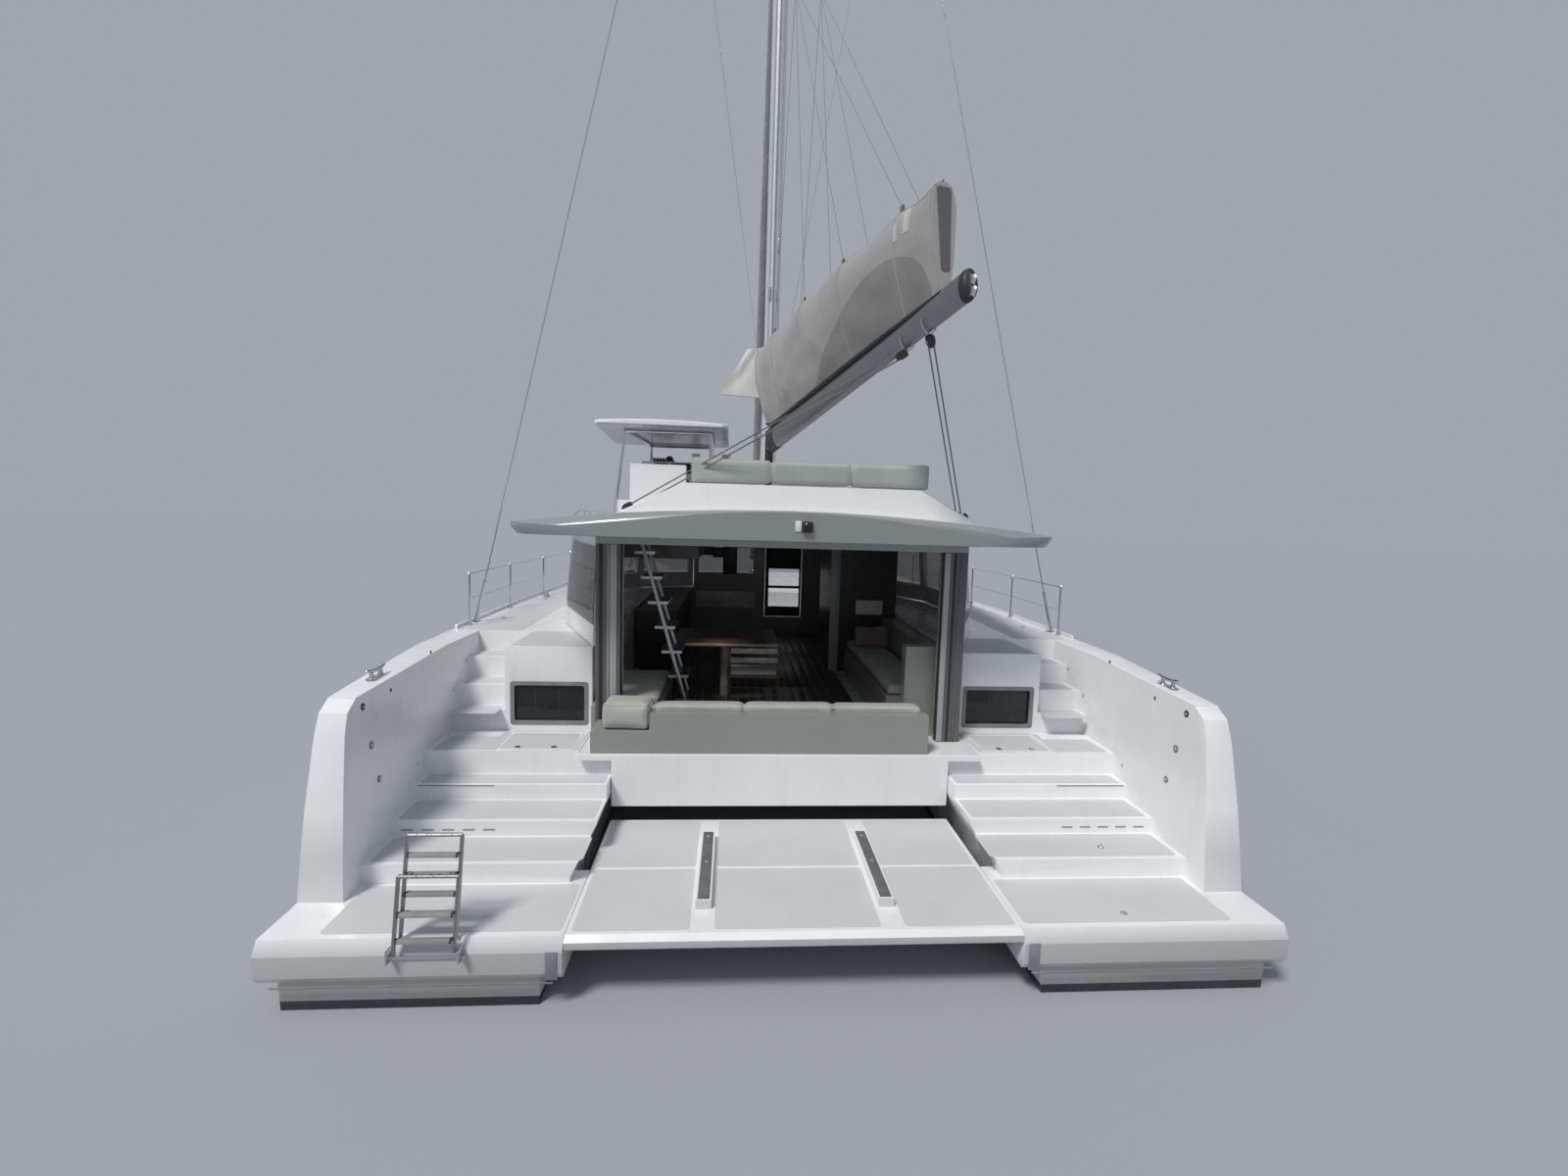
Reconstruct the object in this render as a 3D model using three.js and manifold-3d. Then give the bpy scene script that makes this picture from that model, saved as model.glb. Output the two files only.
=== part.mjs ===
// A cruising sailing catamaran about 14.3 m long, afloat with its boom swung a little to starboard.
// Millimetres, +X to starboard, +Y towards the bows, +Z up. The origin is on the waterline, on the
// centreline, half way along the hulls. Positions along the boat are given as a station, which is
// the distance forward of the stern platform's aft edge.

import * as THREE from "three";
import { mergeVertices } from "three/addons/utils/BufferGeometryUtils.js";
import Module from "manifold-3d";

const wasm = await Module();
wasm.setup();

// Driving dimensions
const LENGTH = 14300;
const HULL_AXIS_X = 2700;
const TUNNEL_X = 1655;
const WELL_X = 1980;
const DECK_Z = 2060;
const SOLE_Z = 1170;
const SOLE_BOTTOM_Z = 1105;
const PLATFORM_Z = 520;
const ROOF_BOTTOM_Z = 3260;
const BRIDGE_BOTTOM_Z = 740;
const BULWARK_FOOT_X = 3380;
const BLOCK_X = 2880;
const BLOCK_STATION = 2650;
const MAST_STATION = 6500;
const MAST_TOP_Z = 22000;
const HOUND_Z = 20600;
const BOOM_SWING_DEG = 13.6;
const BOOM_RISE_DEG = 7.4;
const BOOM_LENGTH = 5450;
const GOOSENECK = { station: 6200, z: 4640 };
const CHAINPLATE = { x: 3750, station: 4270, z: DECK_Z + 6 };
const FORESTAY_STATION = 13480;
const GAP = 1;
const MOVING_GAP = 6;

const Y = (station) => station - LENGTH / 2;
const rad = THREE.MathUtils.degToRad;

// Colours and finishes
const paint = (color, roughness = 0.35, metalness = 0) =>
  new THREE.MeshStandardMaterial({ color, roughness, metalness });
const GELCOAT = paint(0xeef0f0, 0.25);
const GREY_GELCOAT = paint(0xb9bdb8, 0.35);
const NON_SKID = paint(0xe4e6e4, 0.7);
const ANTIFOUL = paint(0x1e2430, 0.7);
const TINTED = paint(0x15171c, 0.08);
const ALLOY = paint(0xc9ccce, 0.35, 0.8);
const STEEL = paint(0xd0d2d4, 0.2, 1);
const BRONZE = paint(0x9a7a44, 0.35, 0.9);
const CANVAS = paint(0x8d8a86, 0.9);
const SAILCLOTH = paint(0xe9e7df, 0.8);
const VINYL = paint(0x9aa093, 0.75);
const WOOD = paint(0x7a5238, 0.5);
const BLACK = paint(0x17181a, 0.5);

// Closed solids, joined and cut
function solid(geometry) {
  const bare = geometry.index ? geometry.toNonIndexed() : geometry.clone();
  const only = new THREE.BufferGeometry().setAttribute("position", bare.getAttribute("position"));
  const merged = mergeVertices(only, 1e-3);
  const vertProperties = merged.attributes.position.array;
  const triVerts = new Uint32Array(merged.index.array);
  const made = new wasm.Manifold(new wasm.Mesh({ numProp: 3, vertProperties, triVerts }));
  if (made.volume() > 0) return made;
  for (let i = 0; i < triVerts.length; i += 3) {
    [triVerts[i + 1], triVerts[i + 2]] = [triVerts[i + 2], triVerts[i + 1]];
  }
  return new wasm.Manifold(new wasm.Mesh({ numProp: 3, vertProperties, triVerts }));
}

function geometryOf(manifold) {
  const mesh = manifold.getMesh();
  const position = new Float32Array(mesh.numVert * 3);
  for (let i = 0; i < mesh.numVert; i += 1) {
    position.set(mesh.vertProperties.subarray(i * mesh.numProp, i * mesh.numProp + 3), i * 3);
  }
  const geometry = new THREE.BufferGeometry();
  geometry.setAttribute("position", new THREE.BufferAttribute(position, 3));
  geometry.setIndex(new THREE.BufferAttribute(mesh.triVerts, 1));
  const flat = geometry.toNonIndexed();
  flat.computeVertexNormals();
  return flat;
}

const join = (first, ...rest) => rest.reduce((sum, next) => sum.add(next), first);
const cut = (first, ...rest) => rest.reduce((left, next) => left.subtract(next), first);
const mirrorX = (manifold) => manifold.mirror([1, 0, 0]);

// A box between two corners, each [x, station, z].
function box([x0, s0, z0], [x1, s1, z1]) {
  const geometry = new THREE.BoxGeometry(Math.abs(x1 - x0), Math.abs(s1 - s0), Math.abs(z1 - z0));
  geometry.translate((x0 + x1) / 2, Y((s0 + s1) / 2), (z0 + z1) / 2);
  return solid(geometry);
}

// A side profile of [station, z] points, extruded across the boat from x0 to x1.
function profileAcross(points, x0, x1) {
  const shape = new THREE.Shape(points.map(([s, z]) => new THREE.Vector2(Y(s), z)));
  const geometry = new THREE.ExtrudeGeometry(shape, { depth: x1 - x0, bevelEnabled: false });
  geometry.applyMatrix4(new THREE.Matrix4().set(0, 0, 1, x0, 1, 0, 0, 0, 0, 1, 0, 0, 0, 0, 0, 1));
  return geometry;
}

// A closed skin over rings of points, each ring as long as the next, with flat or fanned ends.
function loft(rings) {
  const count = rings[0].length;
  const position = [];
  const put = (...points) => points.forEach((p) => position.push(p.x, p.y, p.z));
  for (let r = 0; r + 1 < rings.length; r += 1) {
    for (let i = 0; i < count; i += 1) {
      const j = (i + 1) % count;
      put(rings[r][i], rings[r][j], rings[r + 1][j]);
      put(rings[r][i], rings[r + 1][j], rings[r + 1][i]);
    }
  }
  [rings[0], rings[rings.length - 1]].forEach((ring, end) => {
    const normal = new THREE.Vector3();
    ring.forEach((p, i) => normal.add(p.clone().cross(ring[(i + 1) % count])));
    const turn = new THREE.Quaternion();
    turn.setFromUnitVectors(normal.normalize(), new THREE.Vector3(0, 0, 1));
    const flat = ring.map((p) => p.clone().applyQuaternion(turn));
    const contour = flat.map((p) => new THREE.Vector2(p.x, p.y));
    THREE.ShapeUtils.triangulateShape(contour, []).forEach(([a, b, c]) => {
      if (end === 0) put(ring[a], ring[c], ring[b]);
      else put(ring[a], ring[b], ring[c]);
    });
  });
  const geometry = new THREE.BufferGeometry();
  geometry.setAttribute("position", new THREE.Float32BufferAttribute(position, 3));
  return solid(geometry);
}

// A straight round bar between two points, each [x, station, z].
function rod(from, to, radius, sides = 8) {
  const a = new THREE.Vector3(from[0], Y(from[1]), from[2]);
  const b = new THREE.Vector3(to[0], Y(to[1]), to[2]);
  const geometry = new THREE.CylinderGeometry(radius, radius, a.distanceTo(b), sides);
  const turn = new THREE.Quaternion();
  turn.setFromUnitVectors(new THREE.Vector3(0, 1, 0), b.clone().sub(a).normalize());
  geometry.applyQuaternion(turn);
  const middle = a.add(b).multiplyScalar(0.5);
  return solid(geometry.translate(middle.x, middle.y, middle.z));
}

// A chain of round bars with a ball at each bend.
function bentRod(points, radius, sides = 8) {
  const pieces = [];
  for (let i = 0; i + 1 < points.length; i += 1) {
    pieces.push(rod(points[i], points[i + 1], radius, sides));
  }
  for (const [x, s, z] of points.slice(1, -1)) {
    const ball = new THREE.IcosahedronGeometry(radius * 1.08, 1);
    pieces.push(solid(ball.translate(x, Y(s), z)));
  }
  return join(...pieces);
}

// Each row: a list as long as its neighbours, found between rows by straight interpolation.
function between(table, station) {
  const after = table.findIndex((row) => row[0] >= station);
  if (after <= 0) return after === 0 ? table[0] : table[table.length - 1];
  const [low, high] = [table[after - 1], table[after]];
  const share = (station - low[0]) / (high[0] - low[0]);
  return low.map((value, i) => value + (high[i] - value) * share);
}

// Hulls
// Columns: station, outboard x, inboard x, half beam at the waterline, keel line z, sheer z,
// how far the sheer stands inboard of the topsides, knuckle z, chine z
const HULL_TABLE = [
  [60, 3690, 1720, 870, -60, 1950, 75, 330, 225],
  [900, 3735, 1660, 860, -230, 1965, 60, 420, 290],
  [2200, 3780, 1660, 830, -390, 2035, 30, 620, 430],
  [BLOCK_STATION, 3790, 1660, 820, -420, DECK_Z, 20, 690, 490],
  [4000, 3810, 1660, 790, -500, DECK_Z, 0, 780, 560],
  [6000, 3830, 1660, 750, -560, DECK_Z, 0, 780, 560],
  [8000, 3800, 1660, 690, -570, DECK_Z, 0, 780, 560],
  [9500, 3720, 1680, 600, -550, DECK_Z + 15, 0, 780, 560],
  [10500, 3620, 1745, 510, -530, DECK_Z + 40, 0, 780, 560],
  [11500, 3480, 1870, 400, -500, DECK_Z + 65, 0, 780, 560],
  [12400, 3310, 2030, 290, -470, DECK_Z + 90, 0, 780, 560],
  [13200, 3110, 2230, 180, -440, DECK_Z + 115, 0, 780, 560],
  [13800, 2930, 2430, 85, -400, DECK_Z + 135, 0, 780, 560],
  [14200, 2765, 2635, 15, -300, DECK_Z + 150, 0, 780, 560],
];
const INNER_KNUCKLE_Z = 780;
const INNER_CHINE_Z = 560;
const CHINE_INSET = 110;
const BILGE_STEPS = 10;
const STEM_RAKE = 0.045;

function hullRing([station, outX, inX, halfBeam, keelZ, sheerZ, tumblehome, knuckleZ, chineZ]) {
  const ring = [];
  for (let i = 0; i <= BILGE_STEPS; i += 1) {
    const turn = (Math.PI * i) / BILGE_STEPS;
    ring.push([HULL_AXIS_X + halfBeam * Math.cos(turn), keelZ * Math.sin(turn) ** 0.8]);
  }
  const inset = Math.min(CHINE_INSET, (outX - inX) * 0.2);
  ring.push([inX + inset, INNER_CHINE_Z], [inX, INNER_KNUCKLE_Z], [inX, sheerZ]);
  ring.push([outX - tumblehome, sheerZ], [outX + 8 - tumblehome * 0.45, (sheerZ + knuckleZ) / 2]);
  ring.push([outX, knuckleZ], [outX - inset, chineZ]);
  const rake = STEM_RAKE * (station / LENGTH) ** 10;
  return ring.map(([x, z]) => new THREE.Vector3(x, Y(station) + rake * z, z));
}

// Stern moulding: platform, steps to the landing, and steps on up to the side deck
// Columns: the riser's station, the z of the tread behind it
const FLIGHT = [[760, 680], [1245, 812], [1710, 948], [2000, SOLE_Z]];
const SIDE_FLIGHT = [[2450, 1392], [2830, 1614], [3210, 1836], [3590, 2058]];
const BULWARK_LEAN = 0.06;
const ABOVE = 3000;

function stairLine(flight, startZ) {
  const line = [];
  let z = startZ;
  for (const [station, tread] of flight) {
    line.push([station, z], [station, tread]);
    z = tread;
  }
  return line;
}

// Cuts a stairwell whose outboard wall leans out as the bulwark's inner face does.
function stairCutter(points, innerX) {
  const geometry = profileAcross(points, innerX, BULWARK_FOOT_X);
  const position = geometry.attributes.position;
  for (let i = 0; i < position.count; i += 1) {
    if (position.getX(i) > innerX + 1) {
      position.setX(i, BULWARK_FOOT_X + BULWARK_LEAN * (position.getZ(i) - PLATFORM_Z));
    }
  }
  return solid(geometry);
}

const ENGINE_HATCH = { x0: 2040, x1: 2790, s0: 2030, s1: 2580, rebate: 42, lip: 60 };
const ENGINE_BAY = { x0: 2110, x1: 2720, s0: 1750, s1: 2900, z0: 330, z1: 920 };
const AFT_WINDOW = { x0: 2045, x1: 2800, z0: 1255, z1: 1670, depth: 35 };
const CLEATS = [[3590, 1500, 2000], [3590, 7000, DECK_Z], [3080, 12700, DECK_Z + 96]];

// A low rail moulded along the deck edge. Its sections stand a little forward of the hull's own,
// so that no edge of one falls on an edge of the other.
const TOE_RAIL = { s0: 3720, s1: 14000, shift: 60, inset: 26, half: 14, height: 42 };

function toeRail() {
  const { s0, s1, shift, inset, half, height } = TOE_RAIL;
  const onHull = HULL_TABLE.map((row) => row[0] + shift).filter((s) => s > s0 && s < s1);
  const stations = [s0, ...onHull, s1];
  const rings = stations.map((station) => {
    const row = between(HULL_TABLE, station);
    const [x, z] = [row[1] - row[6] - inset, row[5]];
    const rake = STEM_RAKE * (station / LENGTH) ** 10;
    return [[x - half, z - 12], [x + half, z - 12], [x + half * 0.6, z + height], [x - half * 0.6, z + height]].map(
      ([px, pz]) => new THREE.Vector3(px, Y(station) + rake * pz, pz),
    );
  });
  return loft(rings);
}

function cleat([x, station, deckZ]) {
  const half = 150;
  const foot = (s) => box([x - 14, s - 18, deckZ - 60], [x + 14, s + 18, deckZ + 50]);
  const bar = box([x - 15, station - half, deckZ + 50], [x + 15, station + half, deckZ + 76]);
  return join(bar, foot(station - half / 2), foot(station + half / 2));
}

function hull() {
  const body = loft(HULL_TABLE.map(hullRing));
  const platform = solid(
    profileAcross(
      [[950, 215], [45, 215], [0, 270], [0, 425], [55, PLATFORM_Z], [950, PLATFORM_Z]],
      TUNNEL_X + GAP * 5,
      3705,
    ),
  );
  const sternLine = [[505, PLATFORM_Z], [560, 860], [650, 1330], [735, 1720], [800, 1880], [930, 1960]];
  const sternCut = solid(
    profileAcross([[-500, PLATFORM_Z], ...sternLine, [930, ABOVE], [-500, ABOVE]], 1400, 4300),
  );
  const flight = stairCutter(
    [
      [-500, PLATFORM_Z],
      ...stairLine(FLIGHT, PLATFORM_Z),
      [BLOCK_STATION, SOLE_Z],
      [BLOCK_STATION, ABOVE],
      [-500, ABOVE],
    ],
    1400,
  );
  const sideFlight = stairCutter(
    [
      [2100, SOLE_Z],
      ...stairLine(SIDE_FLIGHT, SOLE_Z),
      [SIDE_FLIGHT[SIDE_FLIGHT.length - 1][0], ABOVE],
      [2100, ABOVE],
    ],
    BLOCK_X,
  );
  const saloonSide = box([1400, 1905, SOLE_BOTTOM_Z - GAP], [WELL_X, 9270, ABOVE]);
  const h = ENGINE_HATCH;
  const bay = ENGINE_BAY;
  const rebate = box([h.x0, h.s0, SOLE_Z - h.rebate], [h.x1, h.s1, SOLE_Z + 50]);
  const shaft = box([h.x0 + h.lip, h.s0 + h.lip, bay.z0], [h.x1 - h.lip, h.s1 - h.lip, SOLE_Z]);
  const engineBay = box([bay.x0, bay.s0, bay.z0], [bay.x1, bay.s1, bay.z1]);
  const w = AFT_WINDOW;
  const window = box([w.x0, BLOCK_STATION - 200, w.z0], [w.x1, BLOCK_STATION + w.depth, w.z1]);
  const shaped = cut(
    join(body, platform),
    sternCut,
    flight,
    sideFlight,
    saloonSide,
    rebate,
    shaft,
    engineBay,
    window,
  );
  return join(shaped, keel(), toeRail(), ...CLEATS.map(cleat));
}

// Underwater gear
const KEEL = { s0: 4500, s1: 7500, top: -520, bottom: -1280, thick: 300 };

// A streamlined section as [x, station] points from the leading edge round to the trailing edge.
function foil(length, thick, steps = 6) {
  const points = [];
  const half = (t) => (thick / 2) * (2.6 * Math.sqrt(t) * (1 - t) + 0.35 * t * (1 - t));
  for (let i = 0; i <= steps; i += 1) points.push([half(i / steps), -length * (i / steps)]);
  for (let i = steps - 1; i > 0; i -= 1) points.push([-half(i / steps), -length * (i / steps)]);
  return points;
}

// Lofts a foil down from one length to another: rows of [z, leading edge station, length, thickness].
function fin(rows, centreX) {
  return loft(
    rows.map(([z, lead, length, thick]) =>
      foil(length, thick).map(([x, s]) => new THREE.Vector3(centreX + x, Y(lead + s), z)),
    ),
  );
}

function keel() {
  const { s0, s1, top, bottom, thick } = KEEL;
  return fin(
    [
      [top + 260, s1, s1 - s0, thick],
      [top - 200, s1 - 120, s1 - s0 - 160, thick],
      [bottom, s1 - 420, s1 - s0 - 620, thick * 0.8],
    ],
    HULL_AXIS_X,
  );
}

const RUDDER = { station: 1050, top: -275, bottom: -1130, chord: 470, thick: 70 };

function rudder() {
  const { station, top, bottom, chord, thick } = RUDDER;
  const lead = station + chord * 0.28;
  const blade = fin(
    [
      [top - 30, lead, chord, thick],
      [bottom, lead - 60, chord * 0.72, thick * 0.7],
    ],
    HULL_AXIS_X,
  );
  return join(blade, rod([HULL_AXIS_X, station, top - 60], [HULL_AXIS_X, station, top], 25, 12));
}

const SAILDRIVE = { station: 2700, shaftZ: -830, top: -405 };

function saildrive() {
  const { station, shaftZ, top } = SAILDRIVE;
  const leg = fin([[top, station + 170, 330, 120], [shaftZ - 30, station + 120, 250, 90]], HULL_AXIS_X);
  const pod = rod([HULL_AXIS_X, station + 150, shaftZ], [HULL_AXIS_X, station - 190, shaftZ], 62, 14);
  return join(leg, pod);
}

function propeller() {
  const hubStation = SAILDRIVE.station - 190 - MOVING_GAP;
  const hub = rod([HULL_AXIS_X, hubStation, SAILDRIVE.shaftZ], [HULL_AXIS_X, hubStation - 130, SAILDRIVE.shaftZ], 52, 14);
  const blades = [0, 1, 2].map((i) => {
    const rows = [[30, 90, 22], [130, 150, 14], [225, 60, 8]];
    const rings = rows.map(([radius, width, thick]) =>
      [[-1, -1], [1, -1], [1, 1], [-1, 1]].map(([u, v]) => {
        const pitch = rad(58 - radius * 0.12);
        const [across, along] = [(u * width) / 2, (v * thick) / 2];
        const x = across * Math.cos(pitch) + along * Math.sin(pitch);
        const y = across * Math.sin(pitch) - along * Math.cos(pitch);
        return new THREE.Vector3(x, y, radius).applyAxisAngle(
          new THREE.Vector3(0, 1, 0),
          (i * 2 * Math.PI) / 3,
        );
      }),
    );
    const centre = new THREE.Vector3(HULL_AXIS_X, Y(hubStation - 65), SAILDRIVE.shaftZ);
    return loft(rings.map((ring) => ring.map((p) => p.add(centre))));
  });
  return join(hub, ...blades);
}

function engine() {
  const { x0, x1, s0, z0 } = ENGINE_BAY;
  return box([x0 + 50, s0 + 100, z0 + GAP], [x1 - 50, s0 + 980, z0 + 580]);
}

function engineHatch() {
  const h = ENGINE_HATCH;
  const lid = [h.x0 + MOVING_GAP, h.s0 + MOVING_GAP, SOLE_Z - h.rebate + MOVING_GAP];
  return box(lid, [h.x1 - MOVING_GAP, h.s1 - MOVING_GAP, SOLE_Z]);
}

// Bridge deck and platforms between the hulls
function bridgeDeck() {
  const side = [
    [1908, PLATFORM_Z + 130],
    [2300, BRIDGE_BOTTOM_Z],
    [9260, BRIDGE_BOTTOM_Z],
    [9260, SOLE_BOTTOM_Z + 10],
    [1908, SOLE_BOTTOM_Z + 10],
  ];
  const edge = WELL_X - GAP * 3;
  const sole = box([-edge, 1908, SOLE_BOTTOM_Z], [edge, 9260, SOLE_Z]);
  return join(solid(profileAcross(side, -TUNNEL_X, TUNNEL_X)), sole);
}

function sternPlatform() {
  const slab = solid(
    profileAcross(
      [[1900, 400], [60, 400], [20, 430], [20, 480], [60, PLATFORM_Z], [1900, PLATFORM_Z]],
      -TUNNEL_X,
      TUNNEL_X,
    ),
  );
  const chock = (x) => box([x - 60, 350, PLATFORM_Z], [x + 60, 1500, PLATFORM_Z + 70]);
  return join(slab, chock(-700), chock(700));
}

// Foredeck: a lounge well behind, a flat deck in front with the anchor locker
const WELL = { s0: 9330, s1: 11300, x: 1460, floor: 1470 };
const LOCKER = { s0: 12050, s1: 12850, x: 420, rebate: 36, lip: 40, depth: 380 };
// Columns: station, underside z
const FOREDECK_TABLE = [[9270, 740], [10600, 800], [11500, 1420], [12900, 1640], [13300, 1760]];
const FOREDECK_TOP = DECK_Z + 10;
// The hulls' inboard faces are raked a little, so what spans them stops this short
const HULL_CLEAR = 20;

// A turned piece standing upright: rows of [radius, height] above its foot
function turned(rows, x, station, footZ) {
  const profile = [[0, rows[0][1]], ...rows, [0, rows[rows.length - 1][1]]];
  const geometry = new THREE.LatheGeometry(profile.map(([r, h]) => new THREE.Vector2(r, h)), 14);
  return solid(geometry.rotateX(Math.PI / 2).translate(x, Y(station), footZ));
}

const WINDLASS_STATION = 13020;

function windlass() {
  const base = box([-90, WINDLASS_STATION - 130, FOREDECK_TOP - 10], [90, WINDLASS_STATION + 130, FOREDECK_TOP + 30]);
  const drum = [[80, -5], [80, 25], [56, 45], [56, 75], [75, 95], [70, 120], [30, 128]];
  return join(base, turned(drum, 0, WINDLASS_STATION - 30, FOREDECK_TOP + 30));
}

function foredeck() {
  const front = FOREDECK_TABLE[FOREDECK_TABLE.length - 1][0];
  const onHull = HULL_TABLE.map((row) => row[0]).filter((s) => s > FOREDECK_TABLE[0][0] && s < front);
  const stations = [...new Set([...FOREDECK_TABLE.map((row) => row[0]), ...onHull])];
  const rings = stations.sort((a, b) => a - b).map((station) => {
    const half = between(HULL_TABLE, station)[2] - HULL_CLEAR;
    const underZ = between(FOREDECK_TABLE, station)[1];
    return [[-half, underZ], [half, underZ], [half, FOREDECK_TOP], [-half, FOREDECK_TOP]].map(
      ([x, z]) => new THREE.Vector3(x, Y(station), z),
    );
  });
  const well = box([-WELL.x, WELL.s0, WELL.floor], [WELL.x, WELL.s1, ABOVE]);
  const doorway = box([100, 9200, WELL.floor], [880, WELL.s0 + 10, ABOVE]);
  const l = LOCKER;
  const rebate = box([-l.x, l.s0, FOREDECK_TOP - l.rebate], [l.x, l.s1, ABOVE]);
  const locker = box(
    [-l.x + l.lip, l.s0 + l.lip, FOREDECK_TOP - l.depth],
    [l.x - l.lip, l.s1 - l.lip, ABOVE],
  );
  const seat = box([-WELL.x - 5, WELL.s1 - 620, WELL.floor - 5], [WELL.x + 5, WELL.s1 + 5, 1830]);
  return join(cut(loft(rings), well, doorway, rebate, locker), seat, windlass());
}

function lockerLid() {
  const l = LOCKER;
  return box(
    [-l.x + MOVING_GAP, l.s0 + MOVING_GAP, FOREDECK_TOP - l.rebate + MOVING_GAP],
    [l.x - MOVING_GAP, l.s1 - MOVING_GAP, FOREDECK_TOP],
  );
}

function crossbeam() {
  const half = between(HULL_TABLE, FORESTAY_STATION - 130)[2] - HULL_CLEAR;
  const beam = rod([-half, FORESTAY_STATION, 1930], [half, FORESTAY_STATION, 1930], 125, 16);
  const tang = box([-12, FORESTAY_STATION - 60, 2000], [12, FORESTAY_STATION + 60, 2170]);
  const roller = box([-70, FORESTAY_STATION - 40, 1760], [70, FORESTAY_STATION + 330, 1840]);
  return join(beam, tang, roller, anchor());
}

function anchor() {
  const station = FORESTAY_STATION + 130;
  const shank = box([-14, station - 290, 1690], [14, station + 200, 1765]);
  const fluke = (side) =>
    loft(
      [[-330, 0, 4], [-120, 190, 16], [60, 150, 16]].map(([s, x, t]) =>
        [[0, -t], [side * x + side * 4, -t - 25], [side * x + side * 4, t - 25], [0, t]].map(
          ([px, pz]) => new THREE.Vector3(px, Y(station - 40 + s), 1620 + pz),
        ),
      ),
    );
  const crown = box([-16, station - 130, 1600], [16, station + 10, 1700]);
  return join(shank, crown, fluke(1), fluke(-1));
}

// Deckhouse
// Columns: x, station, how far the wall's top leans inboard
const HOUSE_TABLE = [
  [1985, 2680, 50],
  [2620, 4200, 120],
  [2950, 5600, 120],
  [2950, 7400, 120],
  [2350, 8750, 60],
  [1325, 9200, 0],
];
const HOUSE_WALL = 60;
const HOUSE_TOP_Z = ROOF_BOTTOM_Z - GAP;
const WINDOW = { z0: 2360, z1: 3060, margin: 110 };
const GLASS = { z0: 2300, z1: 3120, thick: 9 };

// Moves a polyline of Vector2 to its right by its own distance at each point.
function offsetLine(line, distances) {
  return line.map((p, i) => {
    const before = line[Math.max(i - 1, 0)];
    const after = line[Math.min(i + 1, line.length - 1)];
    const a = (i ? p.clone().sub(before) : after.clone().sub(p)).normalize();
    const b = (i + 1 < line.length ? after.clone().sub(p) : p.clone().sub(before)).normalize();
    const normal = new THREE.Vector2(a.y + b.y, -(a.x + b.x)).normalize();
    const miter = 1 / Math.max(0.3, normal.dot(new THREE.Vector2(a.y, -a.x)));
    return p.clone().addScaledVector(normal, distances[i] * miter);
  });
}

// A wall standing on a polyline: rows of [x, station, lean]. It leans to its left as it rises.
function leaningWall(rows, inset, thick, levels, baseZ, topZ) {
  const line = rows.map(([x, s]) => new THREE.Vector2(x, Y(s)));
  const ringAt = (z) => {
    const share = (z - baseZ) / (topZ - baseZ);
    const outer = offsetLine(line, rows.map(([, , lean]) => -lean * share - inset));
    const inner = offsetLine(line, rows.map(([, , lean]) => -lean * share - inset - thick));
    return [...outer, ...inner.reverse()].map((p) => new THREE.Vector3(p.x, p.y, z));
  };
  return loft(levels.map(ringAt));
}

const houseWall = (inset, thick, levels) =>
  leaningWall(HOUSE_TABLE, inset, thick, levels, DECK_Z, HOUSE_TOP_Z);

function deckhouse() {
  const wall = houseWall(0, HOUSE_WALL, [DECK_Z + 17, GLASS.z0, GLASS.z1, HOUSE_TOP_Z]);
  const cutters = HOUSE_TABLE.slice(1).map(([x1, s1], i) => {
    const [x0, s0] = HOUSE_TABLE[i];
    const length = Math.hypot(x1 - x0, s1 - s0);
    const height = WINDOW.z1 - WINDOW.z0;
    const geometry = new THREE.BoxGeometry(length - WINDOW.margin * 2, 500, height);
    geometry.rotateZ(Math.atan2(s1 - s0, x1 - x0));
    return solid(geometry.translate((x0 + x1) / 2, Y((s0 + s1) / 2), WINDOW.z0 + height / 2));
  });
  return cut(wall, ...cutters);
}

const houseGlass = () => houseWall(-GAP, -GLASS.thick, [GLASS.z0, GLASS.z1]);

const DOOR = { x0: 130, x1: 850, z0: 1500, z1: 3090, thick: 40 };
const FRONT = { s0: 9140, s1: 9200, half: 1295 };

function frontBulkhead() {
  const upper = box([-FRONT.half, FRONT.s0, SOLE_Z + GAP], [FRONT.half, FRONT.s1, HOUSE_TOP_Z]);
  const lower = box([-WELL_X + 8, FRONT.s0, SOLE_Z + GAP], [WELL_X - 8, FRONT.s1, DECK_Z - GAP]);
  const clear = MOVING_GAP;
  const doorway = box(
    [DOOR.x0 - clear, FRONT.s0 - 50, DOOR.z0 - clear],
    [DOOR.x1 + clear, FRONT.s1 + 50, DOOR.z1 + clear],
  );
  const window = (x0, x1) => box([x0, FRONT.s0 - 50, WINDOW.z0], [x1, FRONT.s1 + 50, WINDOW.z1]);
  return cut(join(upper, lower), doorway, window(-1200, -110));
}

function forwardDoor() {
  const frame = box([DOOR.x0, FRONT.s1 - DOOR.thick, DOOR.z0], [DOOR.x1, FRONT.s1, DOOR.z1]);
  const light = box(
    [DOOR.x0 + 80, FRONT.s1 - 60, DOOR.z0 + 120],
    [DOOR.x1 - 80, FRONT.s1 + 20, DOOR.z1 - 80],
  );
  const pane = box(
    [DOOR.x0 + 79, FRONT.s1 - 26, DOOR.z0 + 119],
    [DOOR.x1 - 79, FRONT.s1 - 16, DOOR.z1 - 79],
  );
  return join(cut(frame, light), pane);
}

const frontGlass = () =>
  box([-1240, FRONT.s1 + GAP, GLASS.z0], [-70, FRONT.s1 + GAP + GLASS.thick, GLASS.z1]);

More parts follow.
